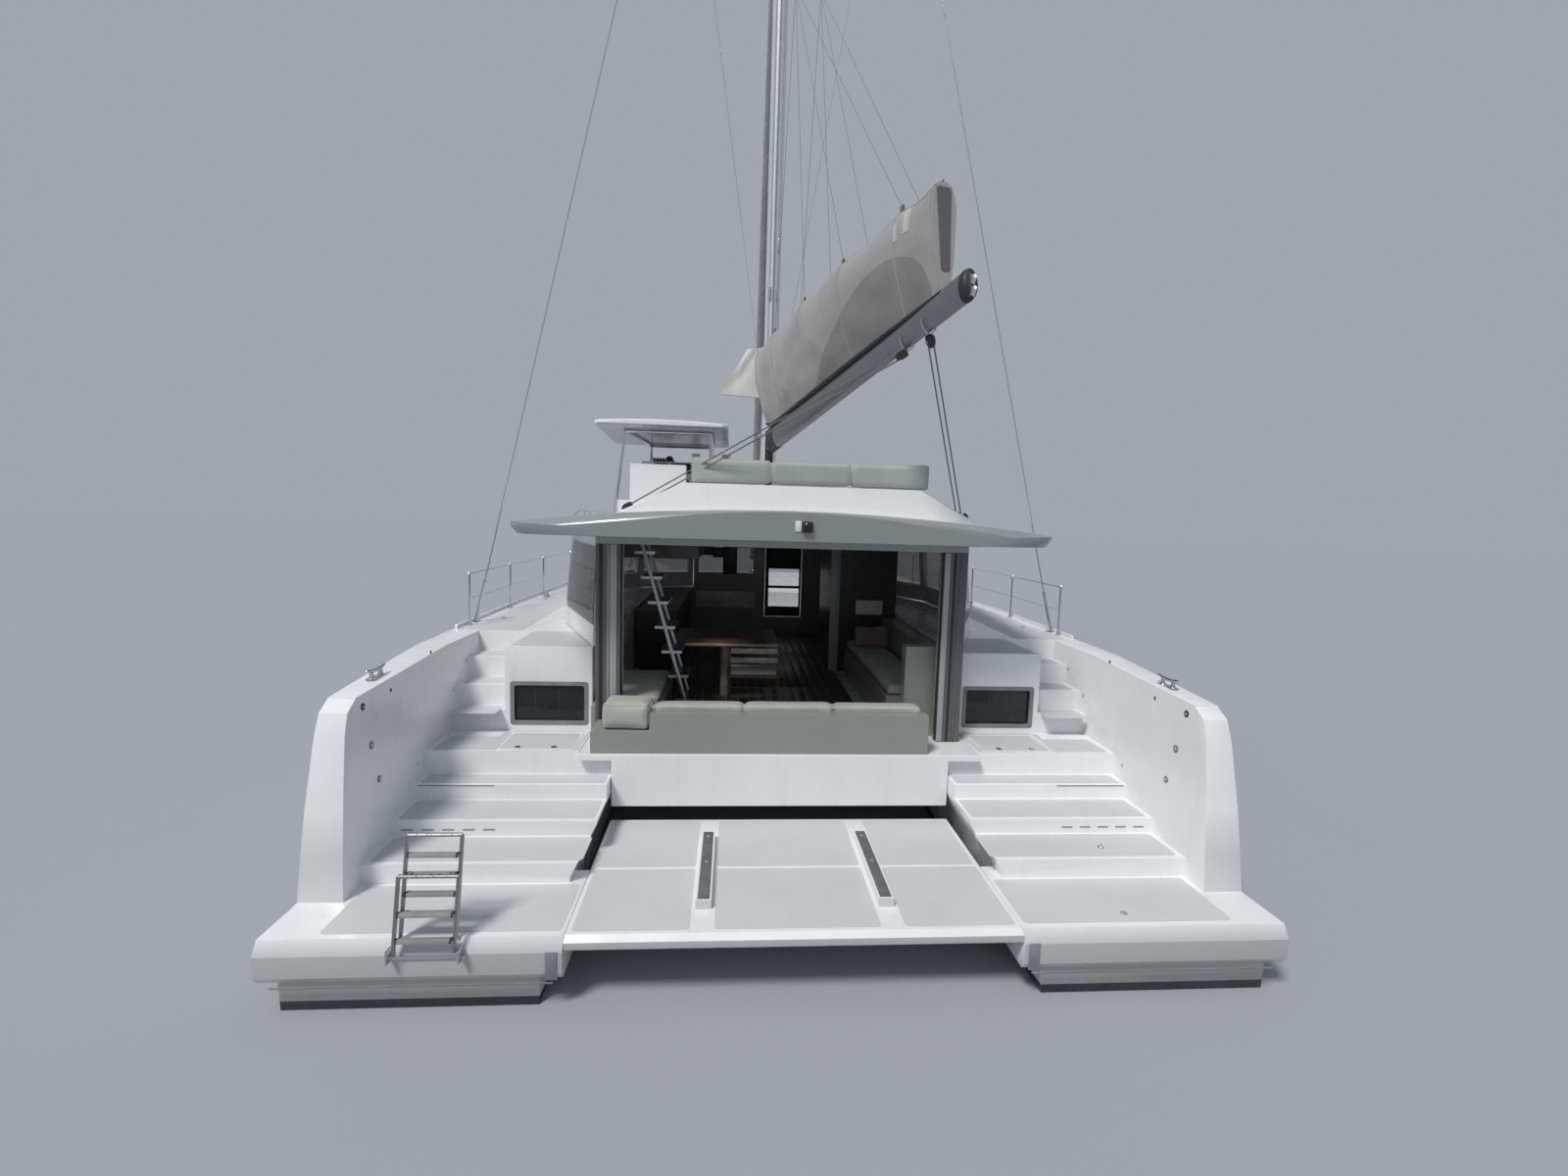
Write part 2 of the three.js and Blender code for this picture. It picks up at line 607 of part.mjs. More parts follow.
// Posts each side of the cockpit opening, with a header between them
function aftPortal() {
  const post = (side) =>
    box([side * 1640, 2330, SOLE_Z + GAP], [side * 1890, 2450, ROOF_BOTTOM_Z - GAP]);
  const header = box([-1890, 2330, 3170], [1890, 2450, ROOF_BOTTOM_Z - GAP]);
  return join(post(1), post(-1), header);
}

// The tilting cockpit door, stowed flat under the hardtop
function tiltDoor() {
  const frame = box([-880, 2700, 3190], [1540, 4500, 3235]);
  const light = box([-800, 2780, 3100], [1460, 4420, 3300]);
  const pane = box([-801, 2779, 3205], [1461, 4421, 3215]);
  return join(cut(frame, light), pane);
}

// Hardtop and flybridge
// Columns: station, half width, edge z, crown z
const ROOF_TABLE = [
  [1700, 1750, 3346, 3528],
  [1720, 2080, 3352, 3533],
  [1770, 2330, 3360, 3538],
  [1860, 2500, 3367, 3543],
  [2000, 2600, 3370, 3545],
  [2400, 2680, 3370, 3545],
  [4000, 2860, 3375, 3545],
  [5600, 3040, 3380, 3545],
  [7400, 3020, 3375, 3535],
  [8100, 2810, 3370, 3515],
  [8700, 2520, 3360, 3490],
  [9050, 2170, 3352, 3465],
  [9290, 1760, 3343, 3436],
  [9420, 1240, 3330, 3400],
];
const ROOF_STEPS = 12;
const FLY_HATCH = { x0: -1640, x1: -1050, s0: 2860, s1: 3420 };
const STERN_LIGHT = { x: 140, top: 3440 };
const TUB = { x0: -1960, x1: -950, s0: 4050, s1: 5480, floor: 2930, rim: 3640, wall: 40 };

function hardtop() {
  const rings = ROOF_TABLE.map(([station, half, edgeZ, crownZ]) => {
    const ring = [];
    for (let i = 0; i <= ROOF_STEPS; i += 1) {
      const across = 1 - (2 * i) / ROOF_STEPS;
      ring.push([half * across, edgeZ + (crownZ - edgeZ) * (1 - across ** 2)]);
    }
    ring.push([-half, edgeZ - 40], [-half + 60, ROOF_BOTTOM_Z], [half - 60, ROOF_BOTTOM_Z]);
    ring.push([half, edgeZ - 40]);
    return ring.map(([x, z]) => new THREE.Vector3(x, Y(station), z));
  });
  const h = FLY_HATCH;
  const hatch = box([h.x0, h.s0, 3000], [h.x1, h.s1, 4000]);
  const tub = box([TUB.x0 - 5, TUB.s0 - 5, 3000], [TUB.x1 + 5, TUB.s1 + 5, 4000]);
  const lamp = box([STERN_LIGHT.x - 45, 1668, 3350], [STERN_LIGHT.x + 45, 1720, STERN_LIGHT.top]);
  return join(cut(loft(rings), hatch, tub), lamp);
}

const ROOF = hardtop();
// Cuts a piece so that it stands just clear of the roof's crowned top.
const onRoof = (piece) => cut(piece, ROOF.translate([0, 0, GAP]));

// The lounge's moulding: cheeks that slope down to the roof outside a level top
// Columns: x and station at the foot, x and station at the top
const COAMING_TABLE = [
  [2230, 6100, 1560, 5950],
  [2330, 4300, 1640, 4300],
  [2290, 2850, 1560, 2900],
  [2080, 2400, 1390, 2500],
  [-1860, 2400, -1050, 2500],
  [-1960, 2850, -1080, 2900],
  [-1960, 3990, -1080, 3960],
];
const COAMING = { z0: 3400, z1: 3800 };
const FLY_SEAT = { x0: -1000, x1: 1480, s0: 2820, s1: 3500, top: 3700 };

function flyCoaming() {
  const { z0, z1 } = COAMING;
  const foot = COAMING_TABLE.map(([x, s]) => new THREE.Vector3(x, Y(s), z0));
  const top = COAMING_TABLE.map(([, , x, s]) => new THREE.Vector3(x, Y(s), z1));
  const { x0, x1, s0, s1 } = FLY_SEAT;
  const lounge = box([x0, s0, z0], [x1, 7000, ABOVE + 2000]);
  const walkway = box([-3000, 3960, z0], [x0 + 10, 7000, ABOVE + 2000]);
  const seat = box([x0 - 10, s0 - 10, z0], [x1 + 10, s1, FLY_SEAT.top]);
  const h = FLY_HATCH;
  const hatch = box([h.x0, h.s0, z0], [h.x1, h.s1, ABOVE + 2000]);
  return onRoof(cut(join(cut(loft([foot, top]), lounge, walkway), seat), hatch));
}

// One upholstered piece: the seat's pad, and a backrest that stands on the moulding's level top
function flyCushion() {
  const { x0, x1, s0, s1, top } = FLY_SEAT;
  const pad = box([x0 + 10, s0 + 10, top + GAP], [x1 - 10, s1 - 20, COAMING.z1 + 30]);
  const back = box([x0, s0 - 170, COAMING.z1 + GAP], [x1 + 70, s0 + 50, 4090]);
  return join(pad, back);
}

const HELM_X = -1475;
const HELM_FLOOR_Z = TUB.floor + TUB.wall;
const HELM_SEAT = { half: 380, s0: 4085, front: 4640, top: 3400, backTop: 4090, backHalf: 345 };

function helmTub() {
  const t = TUB;
  const outer = box([t.x0, t.s0, t.floor], [t.x1, t.s1, t.rim]);
  const inner = box(
    [t.x0 + t.wall, t.s0 + t.wall, HELM_FLOOR_Z],
    [t.x1 - t.wall, t.s1 - t.wall, ABOVE + 2000],
  );
  const { half, s0, front, top, backTop, backHalf } = HELM_SEAT;
  const seat = box([HELM_X - half, s0, HELM_FLOOR_Z - 5], [HELM_X + half, front, top]);
  const back = [[s0, top - 5], [s0 + 170, top - 5], [s0 + 150, backTop], [s0 + 20, backTop]];
  return join(cut(outer, inner), seat, solid(profileAcross(back, HELM_X - backHalf, HELM_X + backHalf)));
}

// The wheel's pedestal stands on the roof just forward of the tub
const CONSOLE = { x0: -1860, x1: -470, s0: 5490, s1: 5850, top: 4230 };

// Columns: radius, height
const WINCH = [[70, -20], [70, 12], [50, 35], [44, 60], [64, 98], [64, 125], [25, 135]];
const WINCH_PLACES = [[-660, 5660], [-1100, 5700]];

function helmConsole() {
  const { x0, x1, s0, s1, top } = CONSOLE;
  const side = [[s0, 3400], [s1 + 90, 3400], [s1, top - 60], [s1 - 120, top], [s0 + 45, top], [s0, top - 190]];
  const winches = WINCH_PLACES.map(([x, s]) => turned(WINCH, x, s, top));
  return onRoof(join(solid(profileAcross(side, x0, x1)), ...winches));
}

const WHEEL = { station: 5400, z: 3720, radius: 360, tube: 16 };

function steeringWheel() {
  const rim = solid(new THREE.TorusGeometry(WHEEL.radius, WHEEL.tube, 8, 28).rotateX(Math.PI / 2));
  const spokes = [0, 1, 2, 3, 4].map((i) => {
    const spoke = new THREE.CylinderGeometry(9, 9, WHEEL.radius, 6);
    spoke.translate(0, WHEEL.radius / 2, 0);
    spoke.rotateX(Math.PI / 2);
    return solid(spoke.rotateY((i * 2 * Math.PI) / 5));
  });
  const hub = solid(new THREE.CylinderGeometry(48, 48, 50, 14));
  return join(rim, hub, ...spokes).translate([HELM_X, Y(WHEEL.station), WHEEL.z]);
}

const helmCushion = () => {
  const { half, s0, front, top, backTop } = HELM_SEAT;
  const pad = box([HELM_X - half + 10, s0 + 175, top + GAP], [HELM_X + half - 10, front - 10, top + 85]);
  const back = box([HELM_X - half + 50, s0 + 175, top + GAP], [HELM_X + half - 50, s0 + 260, backTop - 60]);
  return join(pad, back);
};

// The small hard roof over the helm falls a little towards the bows
const BIMINI = { x0: -2230, x1: -620, s0: 3900, s1: 5590, z0: 4532, fall: 0.045, thick: 60, crown: 30 };
const biminiBottom = (station) => BIMINI.z0 - BIMINI.fall * (station - BIMINI.s0);

function helmBimini() {
  const steps = 8;
  const ringAt = (station, inset, drop) => {
    const ring = [];
    const bottom = biminiBottom(station);
    for (let i = 0; i <= steps; i += 1) {
      const across = i / steps;
      const x = BIMINI.x1 - inset + (BIMINI.x0 - BIMINI.x1 + 2 * inset) * across;
      const rise = BIMINI.crown * 4 * across * (1 - across) - drop;
      ring.push(new THREE.Vector3(x, Y(station), bottom + BIMINI.thick + rise));
    }
    ring.push(new THREE.Vector3(BIMINI.x0 + inset, Y(station), bottom));
    ring.push(new THREE.Vector3(BIMINI.x1 - inset, Y(station), bottom));
    return ring;
  };
  return loft([
    ringAt(BIMINI.s0, 70, 20),
    ringAt(BIMINI.s0 + 90, 0, 0),
    ringAt(BIMINI.s1 - 90, 0, 0),
    ringAt(BIMINI.s1, 70, 20),
  ]);
}

// Four posts: the aft ones stand on the roof, the forward ones on the console
function biminiFrame() {
  const tube = 18;
  const [aft, fore] = [4250, 5500];
  const head = (x, s) => [x, s, biminiBottom(s) - tube - GAP * 3];
  const corners = [head(-1900, aft), head(-840, aft), head(-1720, fore), head(-840, fore)];
  const onConsole = CONSOLE.top + 12;
  const feet = [[-2035, aft, 3400], [-850, aft, 3400], [-1735, 5580, onConsole], [-845, 5580, onConsole]];
  const posts = corners.map((corner, i) => rod(feet[i], corner, tube));
  const pairs = [[0, 1], [2, 3], [0, 2], [1, 3]];
  const rails = pairs.map(([a, b]) => rod(corners[a], corners[b], tube));
  const balls = corners.map(([x, s, z]) =>
    solid(new THREE.IcosahedronGeometry(tube * 1.1, 1).translate(x, Y(s), z)),
  );
  return onRoof(join(...posts, ...rails, ...balls));
}

// Rig
const MAST = { width: 230, depth: 320, sides: 20 };
const LUG = { low: GOOSENECK.z - 100, high: GOOSENECK.z + 100, thick: 14, half: 34 };
// Columns: z, length to each side
const SPREADERS = [[11800, 1150], [16200, 950]];

function mast() {
  const geometry = new THREE.CylinderGeometry(0.5, 0.5, MAST_TOP_Z - 3450, MAST.sides);
  geometry.rotateX(Math.PI / 2);
  geometry.scale(MAST.width, MAST.depth, 1);
  geometry.translate(0, Y(MAST_STATION), (MAST_TOP_Z + 3450) / 2);
  const reach = MAST_STATION - GOOSENECK.station;
  const lug = (z) => box([-LUG.half, MAST_STATION, z], [LUG.half, MAST_STATION - reach - 40, z + LUG.thick]);
  const spreaders = SPREADERS.flatMap(([z, length]) =>
    [1, -1].map((side) =>
      rod([0, MAST_STATION, z], [side * length, MAST_STATION - length * 0.32, z + 60], 34, 8),
    ),
  );
  const crane = box([-45, MAST_STATION - 420, MAST_TOP_Z - 90], [45, MAST_STATION + 260, MAST_TOP_Z]);
  return onRoof(join(solid(geometry), lug(LUG.low), lug(LUG.high), crane, ...spreaders));
}

// Both are made along -Y from the gooseneck's axis at the origin, then turned and placed.
function placeOnBoom(manifold) {
  const turned = manifold.rotate([-BOOM_RISE_DEG, 0, BOOM_SWING_DEG]);
  return turned.translate([0, Y(GOOSENECK.station), GOOSENECK.z]);
}

// The spar tapers from the gooseneck to its outer end
const BOOM = { width: 210, height: 390, taper: 0.66, start: 150, sides: 18 };

function boomSpar(margin) {
  const geometry = new THREE.CylinderGeometry(0.5, 0.5 * BOOM.taper, BOOM_LENGTH - BOOM.start, BOOM.sides);
  geometry.scale(BOOM.width + margin, 1, BOOM.height + margin);
  return solid(geometry.translate(0, -(BOOM_LENGTH + BOOM.start) / 2, 0));
}

function boom() {
  const inner = LUG.high - GOOSENECK.z - MOVING_GAP;
  const eye = new THREE.CylinderGeometry(30, 30, inner * 2 - 36, 12).rotateX(Math.PI / 2);
  const neck = new THREE.BoxGeometry(46, BOOM.start + 40, 120);
  neck.translate(0, -(BOOM.start + 40) / 2, 0);
  return placeOnBoom(join(boomSpar(0), solid(eye), solid(neck)));
}

// Columns: distance along the boom, half width, underside and top above the boom's axis
const BAG_TABLE = [
  [170, 285, 230, 1390],
  [450, 290, 160, 1410],
  [1500, 295, 130, 1345],
  [3000, 285, 110, 1225],
  [4300, 215, 90, 1110],
  [5120, 115, 85, 1035],
];
// Columns: share of the half width, share of the height
const BAG_OUTLINE = [[0.34, 0], [0.62, 0.2], [0.86, 0.45], [1, 0.72], [0.82, 0.92], [0.3, 1]];

function sailBag() {
  const rings = BAG_TABLE.map(([along, half, low, high]) => {
    const right = BAG_OUTLINE.map(([u, v]) => [u * half, low + v * (high - low)]);
    const left = right.map(([x, z]) => [-x, z]).reverse();
    return [...right, ...left].map(([x, z]) => new THREE.Vector3(x, -along, z));
  });
  return placeOnBoom(cut(loft(rings), boomSpar(4)));
}

// The fold of the mainsail's luff that stands out to port of the mast
// Columns: x, z
const LUFF_FOLD = [[-130, 5330], [-130, 6120], [-360, 6100], [-860, 5440], [-780, 5360]];

function luffFold() {
  const ringAt = (station) => LUFF_FOLD.map(([x, z]) => new THREE.Vector3(x, Y(station), z));
  return loft([ringAt(6470), ringAt(6560)]);
}

function shroud() {
  const low = [CHAINPLATE.x, CHAINPLATE.station, CHAINPLATE.z];
  const high = [MAST.width / 2 + 25, MAST_STATION - 60, HOUND_Z];
  const at = (share) => low.map((v, i) => v + (high[i] - v) * share);
  const wire = rod(at(0.02), high, 9, 6);
  const screw = rod(low, at(0.028), 20, 8);
  return join(wire, screw);
}

// The furled headsail on its stay, lofted along the stay
function headsail() {
  const low = new THREE.Vector3(0, Y(FORESTAY_STATION), 2190);
  const high = new THREE.Vector3(0, Y(MAST_STATION + MAST.depth / 2 + 40), HOUND_Z + 150);
  const length = low.distanceTo(high);
  // Columns: share of the stay, radius
  const table = [[0, 14], [0.012, 14], [0.012, 95], [0.024, 95], [0.024, 26], [0.05, 26], [0.06, 70],
    [0.25, 105], [0.6, 80], [0.9, 48], [0.94, 20], [1, 12]];
  const profile = [new THREE.Vector2(0, 0), ...table.map(([t, r]) => new THREE.Vector2(r, t * length)),
    new THREE.Vector2(0, length)];
  const geometry = new THREE.LatheGeometry(profile, 12);
  const turn = new THREE.Quaternion();
  turn.setFromUnitVectors(new THREE.Vector3(0, 1, 0), high.clone().sub(low).normalize());
  geometry.applyQuaternion(turn);
  return solid(geometry.translate(low.x, low.y, low.z));
}

// Swimming ladder at the port stern, folded up: a wide section and a narrow one inside it
const LADDER = { x: -2565, hinge: [-45, 470], lean: 12, width: 400, length: 500, tube: 15 };
const EXTENSION = { width: 370, foot: 80, length: 680, offset: 64, lugX: 130 };

function ladderFrame(width, length, treads) {
  const half = width / 2;
  const rails = [-half, half].map((x) => rod([x, 0, 0], [x, 0, length], LADDER.tube, 8));
  const steps = treads.map((z) => box([-half, -28, z - 9], [half, 28, z + 9]));
  return join(...rails, ...steps, rod([-half, 0, length], [half, 0, length], LADDER.tube, 8));
}

function placeOnLadder(manifold, offset) {
  const upright = manifold.translate([0, -Y(0) + offset, 0]);
  const leaned = upright.rotate([-LADDER.lean, 0, 0]);
  return leaned.translate([LADDER.x, Y(LADDER.hinge[0]), LADDER.hinge[1]]);
}

const ladder = () =>
  placeOnLadder(ladderFrame(LADDER.width, LADDER.length, [80, 250]), 0);

function ladderExtension() {
  const frame = ladderFrame(EXTENSION.width, EXTENSION.length, [155, 285, 415, 545]);
  const pivot = LADDER.length - EXTENSION.foot;
  const lug = (x) => box([x - 6, LADDER.tube + GAP - EXTENSION.offset, pivot - 12], [x + 6, 0, pivot + 12]);
  const hung = join(frame, lug(-EXTENSION.lugX), lug(EXTENSION.lugX));
  return placeOnLadder(hung.translate([0, 0, EXTENSION.foot]), EXTENSION.offset);
}

function ladderBracket() {
  const reach = LADDER.width / 2 + 35;
  const ear = (x) => box([x - 6, -75, 400], [x + 6, -2, 495]);
  const plate = box([LADDER.x - reach - 35, -12, 400], [LADDER.x + reach + 35, -2, 425]);
  return join(plate, ear(LADDER.x - reach), ear(LADDER.x + reach));
}

// Furniture
const BENCH = { x0: -1300, x1: 1440, port: -1860, seatZ: 1500, backZ: 1560, cornerZ: 1390 };

function cockpitBench() {
  const { x0, x1, port, seatZ, backZ, cornerZ } = BENCH;
  const back = box([x0, 1935, SOLE_Z + GAP], [x1, 2060, backZ]);
  const seat = box([x0, 2055, SOLE_Z + GAP], [x1, 2300, seatZ]);
  const corner = box([port, 1935, SOLE_Z + GAP], [x0 + 5, 2320, cornerZ]);
  return join(back, seat, corner);
}

function benchCushion() {
  const { x0, x1, port, seatZ, cornerZ } = BENCH;
  const pad = box([x0 - 5, 2065, seatZ + GAP], [x1 - 10, 2300, seatZ + 110]);
  const bolster = box([port + 90, 1950, cornerZ + GAP], [x0 - GAP, 2310, 1665]);
  return join(pad, bolster);
}

const sofa = () =>
  join(
    box([1180, 2700, SOLE_Z + GAP], [1960, 5600, 1560]),
    box([1740, 2700, SOLE_Z + GAP], [1960, 5600, 2020]),
    box([1330, 2520, SOLE_Z + GAP], [1800, 2705, 2150]),
  );
const sofaCushion = () => box([1190, 2710, 1560 + GAP], [1730, 5590, 1680]);
const galley = () => box([-1960, 5700, SOLE_Z + GAP], [-1340, 9000, 2040]);

function saloonTable() {
  const top = box([-1250, 3900, 1860], [60, 5000, 1900]);
  const leg = (s) => rod([-600, s, SOLE_Z + GAP], [-600, s, 1870], 60, 12);
  return join(top, leg(4150), leg(4750));
}

// The tall unit at the forward end of the sofa reaches up to the roof
const saloonCabinet = () => box([950, 5660, SOLE_Z + GAP], [1960, 6900, HOUSE_TOP_Z]);

const PORT_SEAT = { x0: -1960, x1: -1240, s0: 2470, s1: 3800, top: 1500 };

function portSeat() {
  const { x0, x1, s0, s1, top } = PORT_SEAT;
  return box([x0, s0, SOLE_Z + GAP], [x1, s1, top]);
}

function portSeatCushion() {
  const { x0, x1, s0, s1, top } = PORT_SEAT;
  return box([x0 + 10, s0 + 10, top + GAP], [x1 - 10, s1 - 10, top + 90]);
}

const CHAIR = { x0: -570, x1: 60, s0: 3420, s1: 3860, seat: 1600, top: 1930 };

function saloonChair() {
  const { x0, x1, s0, s1, seat, top } = CHAIR;
  const inset = 30;
  const legs = [x0 + inset, x1 - inset].flatMap((x) => [
    rod([x, s0 + inset, SOLE_Z + GAP], [x, s0 + inset, top], 19),
    rod([x, s1 - inset, SOLE_Z + GAP], [x, s1 - inset, seat - 10], 19),
  ]);
  const cushion = box([x0 + 20, s0 + 50, seat - 5], [x1 - 20, s1 - 10, seat + 50]);
  const slats = [0, 1].map((i) => {
    const z = top - 20 - i * 110;
    return box([x0 + inset, s0 + 18, z - 35], [x1 - inset, s0 + 42, z + 15]);
  });
  return join(box([x0, s0, seat - 30], [x1, s1, seat]), cushion, ...legs, ...slats);
}

function flyStairs() {
  const run = (z) => -950 - (z - SOLE_Z) * 0.28;
  const rails = [2900, 3360].map((s) =>
    rod([run(SOLE_Z + 20), s, SOLE_Z + 20], [run(3500), s, 3500], 22, 8),
  );
  const treads = [1, 2, 3, 4, 5, 6, 7].map((i) => {
    const z = SOLE_Z + i * 270;
    return box([run(z) - 110, 2890, z - 15], [run(z) + 110, 3370, z + 15]);
  });
  return join(...rails, ...treads);
}

// Guard rails along the deck edge: posts joined by a wire, and a tube pulpit at the bow
function guardRail() {
  const posts = [4000, 5600, 7300, 9000, 10600, 12000, 13000].map((station) => {
    const row = between(HULL_TABLE, station);
    return [row[1] - 90, station, row[5]];
  });
  const tip = between(HULL_TABLE, 14000);
  const end = [tip[1] - 60, 14000, tip[5]];
  const raise = ([x, s, z], rise) => [x, s, z + rise];
  const pieces = posts.map((p) => rod(raise(p, 2), raise(p, 640), 13, 8));
  for (let i = 0; i + 1 < posts.length; i += 1) {
    pieces.push(rod(raise(posts[i], 628), raise(posts[i + 1], 628), 6, 6));
  }
  const last = posts[posts.length - 1];
  pieces.push(bentRod([raise(last, 628), raise(end, 640), raise(end, 2)], 14, 8));
  return join(...pieces);
}

// Assembly: name, solid, material
const starboardHull = hull();
const PIECES = [
  ["hull_starboard", starboardHull, GELCOAT],
  ["hull_port", mirrorX(starboardHull), GELCOAT],
  ["bridge_deck", bridgeDeck(), GELCOAT],
  ["stern_platform", sternPlatform(), NON_SKID],
  ["foredeck", foredeck(), GELCOAT],
  ["anchor_locker_lid", lockerLid(), NON_SKID],
  ["crossbeam", crossbeam(), ALLOY],
  ["front_bulkhead", frontBulkhead(), GELCOAT],
  ["front_glass", frontGlass(), TINTED],
  ["forward_door", forwardDoor(), TINTED],
  ["aft_portal", aftPortal(), GREY_GELCOAT],
  ["tilt_door", tiltDoor(), TINTED],
  ["hardtop", ROOF, GELCOAT],
  ["fly_coaming", flyCoaming(), GELCOAT],
  ["fly_cushion", flyCushion(), VINYL],
  ["fly_stairs", flyStairs(), STEEL],
  ["helm_tub", helmTub(), GELCOAT],
  ["helm_console", helmConsole(), GELCOAT],
  ["helm_cushion", helmCushion(), VINYL],
  ["steering_wheel", steeringWheel(), STEEL],
  ["helm_bimini", helmBimini(), GELCOAT],
  ["bimini_frame", biminiFrame(), STEEL],
  ["mast", mast(), ALLOY],
  ["boom", boom(), ALLOY],
  ["sail_bag", sailBag(), CANVAS],
  ["sail_luff_fold", luffFold(), SAILCLOTH],
  ["headsail_furled", headsail(), SAILCLOTH],
  ["ladder_bracket", ladderBracket(), STEEL],
  ["ladder", ladder(), STEEL],
  ["ladder_extension", ladderExtension(), STEEL],
  ["cockpit_bench", cockpitBench(), GREY_GELCOAT],
  ["bench_cushion", benchCushion(), VINYL],
  ["sofa", sofa(), GREY_GELCOAT],
  ["sofa_cushion", sofaCushion(), VINYL],
  ["galley", galley(), WOOD],
  ["saloon_table", saloonTable(), WOOD],
  ["saloon_chair", saloonChair(), WOOD],
  ["saloon_cabinet", saloonCabinet(), WOOD],
  ["port_seat", portSeat(), GREY_GELCOAT],
  ["port_seat_cushion", portSeatCushion(), VINYL],
];
const MIRRORED = [
  ["deckhouse", deckhouse(), GELCOAT],
  ["side_glass", houseGlass(), TINTED],
  ["rudder", rudder(), ANTIFOUL],
  ["saildrive", saildrive(), BLACK],
  ["propeller", propeller(), BRONZE],
  ["engine", engine(), BLACK],
  ["engine_hatch", engineHatch(), NON_SKID],
  ["shroud", shroud(), STEEL],
  ["guard_rail", guardRail(), STEEL],
];
for (const [name, made, material] of MIRRORED) {
  const clear = name === "saildrive" || name === "rudder" ? cut(made, starboardHull.translate([0, 0, -GAP])) : made;
  PIECES.push([name + "_starboard", clear, material], [name + "_port", mirrorX(clear), material]);
}

const catamaran = new THREE.Group();
for (const [name, made, material] of PIECES) {
  const mesh = new THREE.Mesh(geometryOf(made), material);
  mesh.name = name;
  catamaran.add(mesh);
}

export default catamaran;
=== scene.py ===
"""The looks of a cruising sailing catamaran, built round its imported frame.

Metres, +X to starboard, +Y towards the bows, +Z up, with the origin on the waterline. Lengthwise
places are given as stations: the distance forward of the stern platforms' aft edge.
"""

import math

import bmesh
import bpy
import numpy as np
from mathutils import Matrix, Vector, noise
from mathutils.bvhtree import BVHTree


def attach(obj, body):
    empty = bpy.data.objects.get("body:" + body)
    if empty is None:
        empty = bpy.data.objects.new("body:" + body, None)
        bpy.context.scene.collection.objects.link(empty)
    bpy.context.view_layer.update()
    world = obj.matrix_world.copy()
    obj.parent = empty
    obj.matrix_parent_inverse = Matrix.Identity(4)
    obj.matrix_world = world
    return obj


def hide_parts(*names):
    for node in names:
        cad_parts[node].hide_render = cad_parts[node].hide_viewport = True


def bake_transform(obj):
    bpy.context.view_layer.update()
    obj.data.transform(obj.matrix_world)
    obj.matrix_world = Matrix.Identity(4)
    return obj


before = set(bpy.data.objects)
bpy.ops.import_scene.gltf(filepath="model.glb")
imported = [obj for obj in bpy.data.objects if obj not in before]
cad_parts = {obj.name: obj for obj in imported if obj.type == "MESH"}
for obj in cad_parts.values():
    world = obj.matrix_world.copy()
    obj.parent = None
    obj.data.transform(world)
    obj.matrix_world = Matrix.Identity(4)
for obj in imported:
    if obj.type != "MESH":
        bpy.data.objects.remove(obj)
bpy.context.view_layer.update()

# Driving dimensions, as in the boat's solids
HALF_LENGTH = 7.15
HULL_X = 2.7
DECK_Z = 2.06
FOREDECK_Z = DECK_Z + 0.01
SOLE_Z = 1.17
PLATFORM_Z = 0.52
ANTIFOULING_Z = 0.065
MAST_STATION = 6.5
GOOSENECK = (0.0, 6.2, 4.64)
BOOM_SWING = math.radians(13.6)
BOOM_RISE = math.radians(7.4)
BOOM_LENGTH = 5.45
SIDES = (("starboard", 1), ("port", -1))
# Colours that several finishes share
WHITE = (0.80, 0.82, 0.84)
ANTIFOULING = (0.035, 0.045, 0.065)
# Stands an outline in the XY plane upright
UPRIGHT = Matrix.Rotation(math.radians(90), 4, "X")
# How far a grip pad stands off the deck, and how deep its rim reaches
PAD_LIFT = 0.0025
PAD_DEPTH = 0.006


# Small helpers
def V(x, y, z):
    return Vector((x, y, z))


def P(x, station, z):
    """A point from its place across the boat, its station and its height."""
    return V(x, station - HALF_LENGTH, z)


def pointing(direction):
    """A turn that brings the Z axis round to a direction."""
    return Vector(direction).to_track_quat("Z", "Y").to_matrix().to_4x4()


def angles(count):
    return [2 * math.pi * k / count for k in range(count)]


def between(a, b, share):
    return Vector(a) + (Vector(b) - Vector(a)) * share


def line(a, b, steps):
    return [between(a, b, k / steps) for k in range(steps + 1)]


def add_object(name, data):
    obj = bpy.data.objects.new(name, data)
    bpy.context.scene.collection.objects.link(obj)
    return obj


def mesh_of(bm, name):
    """The mesh of a bmesh, which is freed."""
    mesh = bpy.data.meshes.new(name)
    bm.to_mesh(mesh)
    bm.free()
    return mesh


# Camera, at the photograph's viewpoint
CAMERA_PLACE = P(-0.54, -4.60, 3.47)
CAMERA_ANGLES = [math.radians(a) for a in (4.38, 5.77, 1.70)]
CAMERA_LENS = 15.82
CAMERA_SENSOR = 36.0


def make_camera():
    data = bpy.data.cameras.new("camera")
    data.lens = CAMERA_LENS
    data.sensor_width = CAMERA_SENSOR
    data.sensor_fit = "HORIZONTAL"
    data.clip_end = 500
    yaw, pitch, roll = CAMERA_ANGLES
    ahead = V(math.sin(yaw) * math.cos(pitch), math.cos(yaw) * math.cos(pitch), -math.sin(pitch))
    level = V(math.cos(yaw), -math.sin(yaw), 0)
    upright = level.cross(ahead)
    right = math.cos(roll) * level + math.sin(roll) * upright
    up = -math.sin(roll) * level + math.cos(roll) * upright
    camera = add_object("camera", data)
    camera.matrix_world = Matrix.Translation(CAMERA_PLACE) @ Matrix((right, up, -ahead)).transposed().to_4x4()
    bpy.context.scene.camera = camera


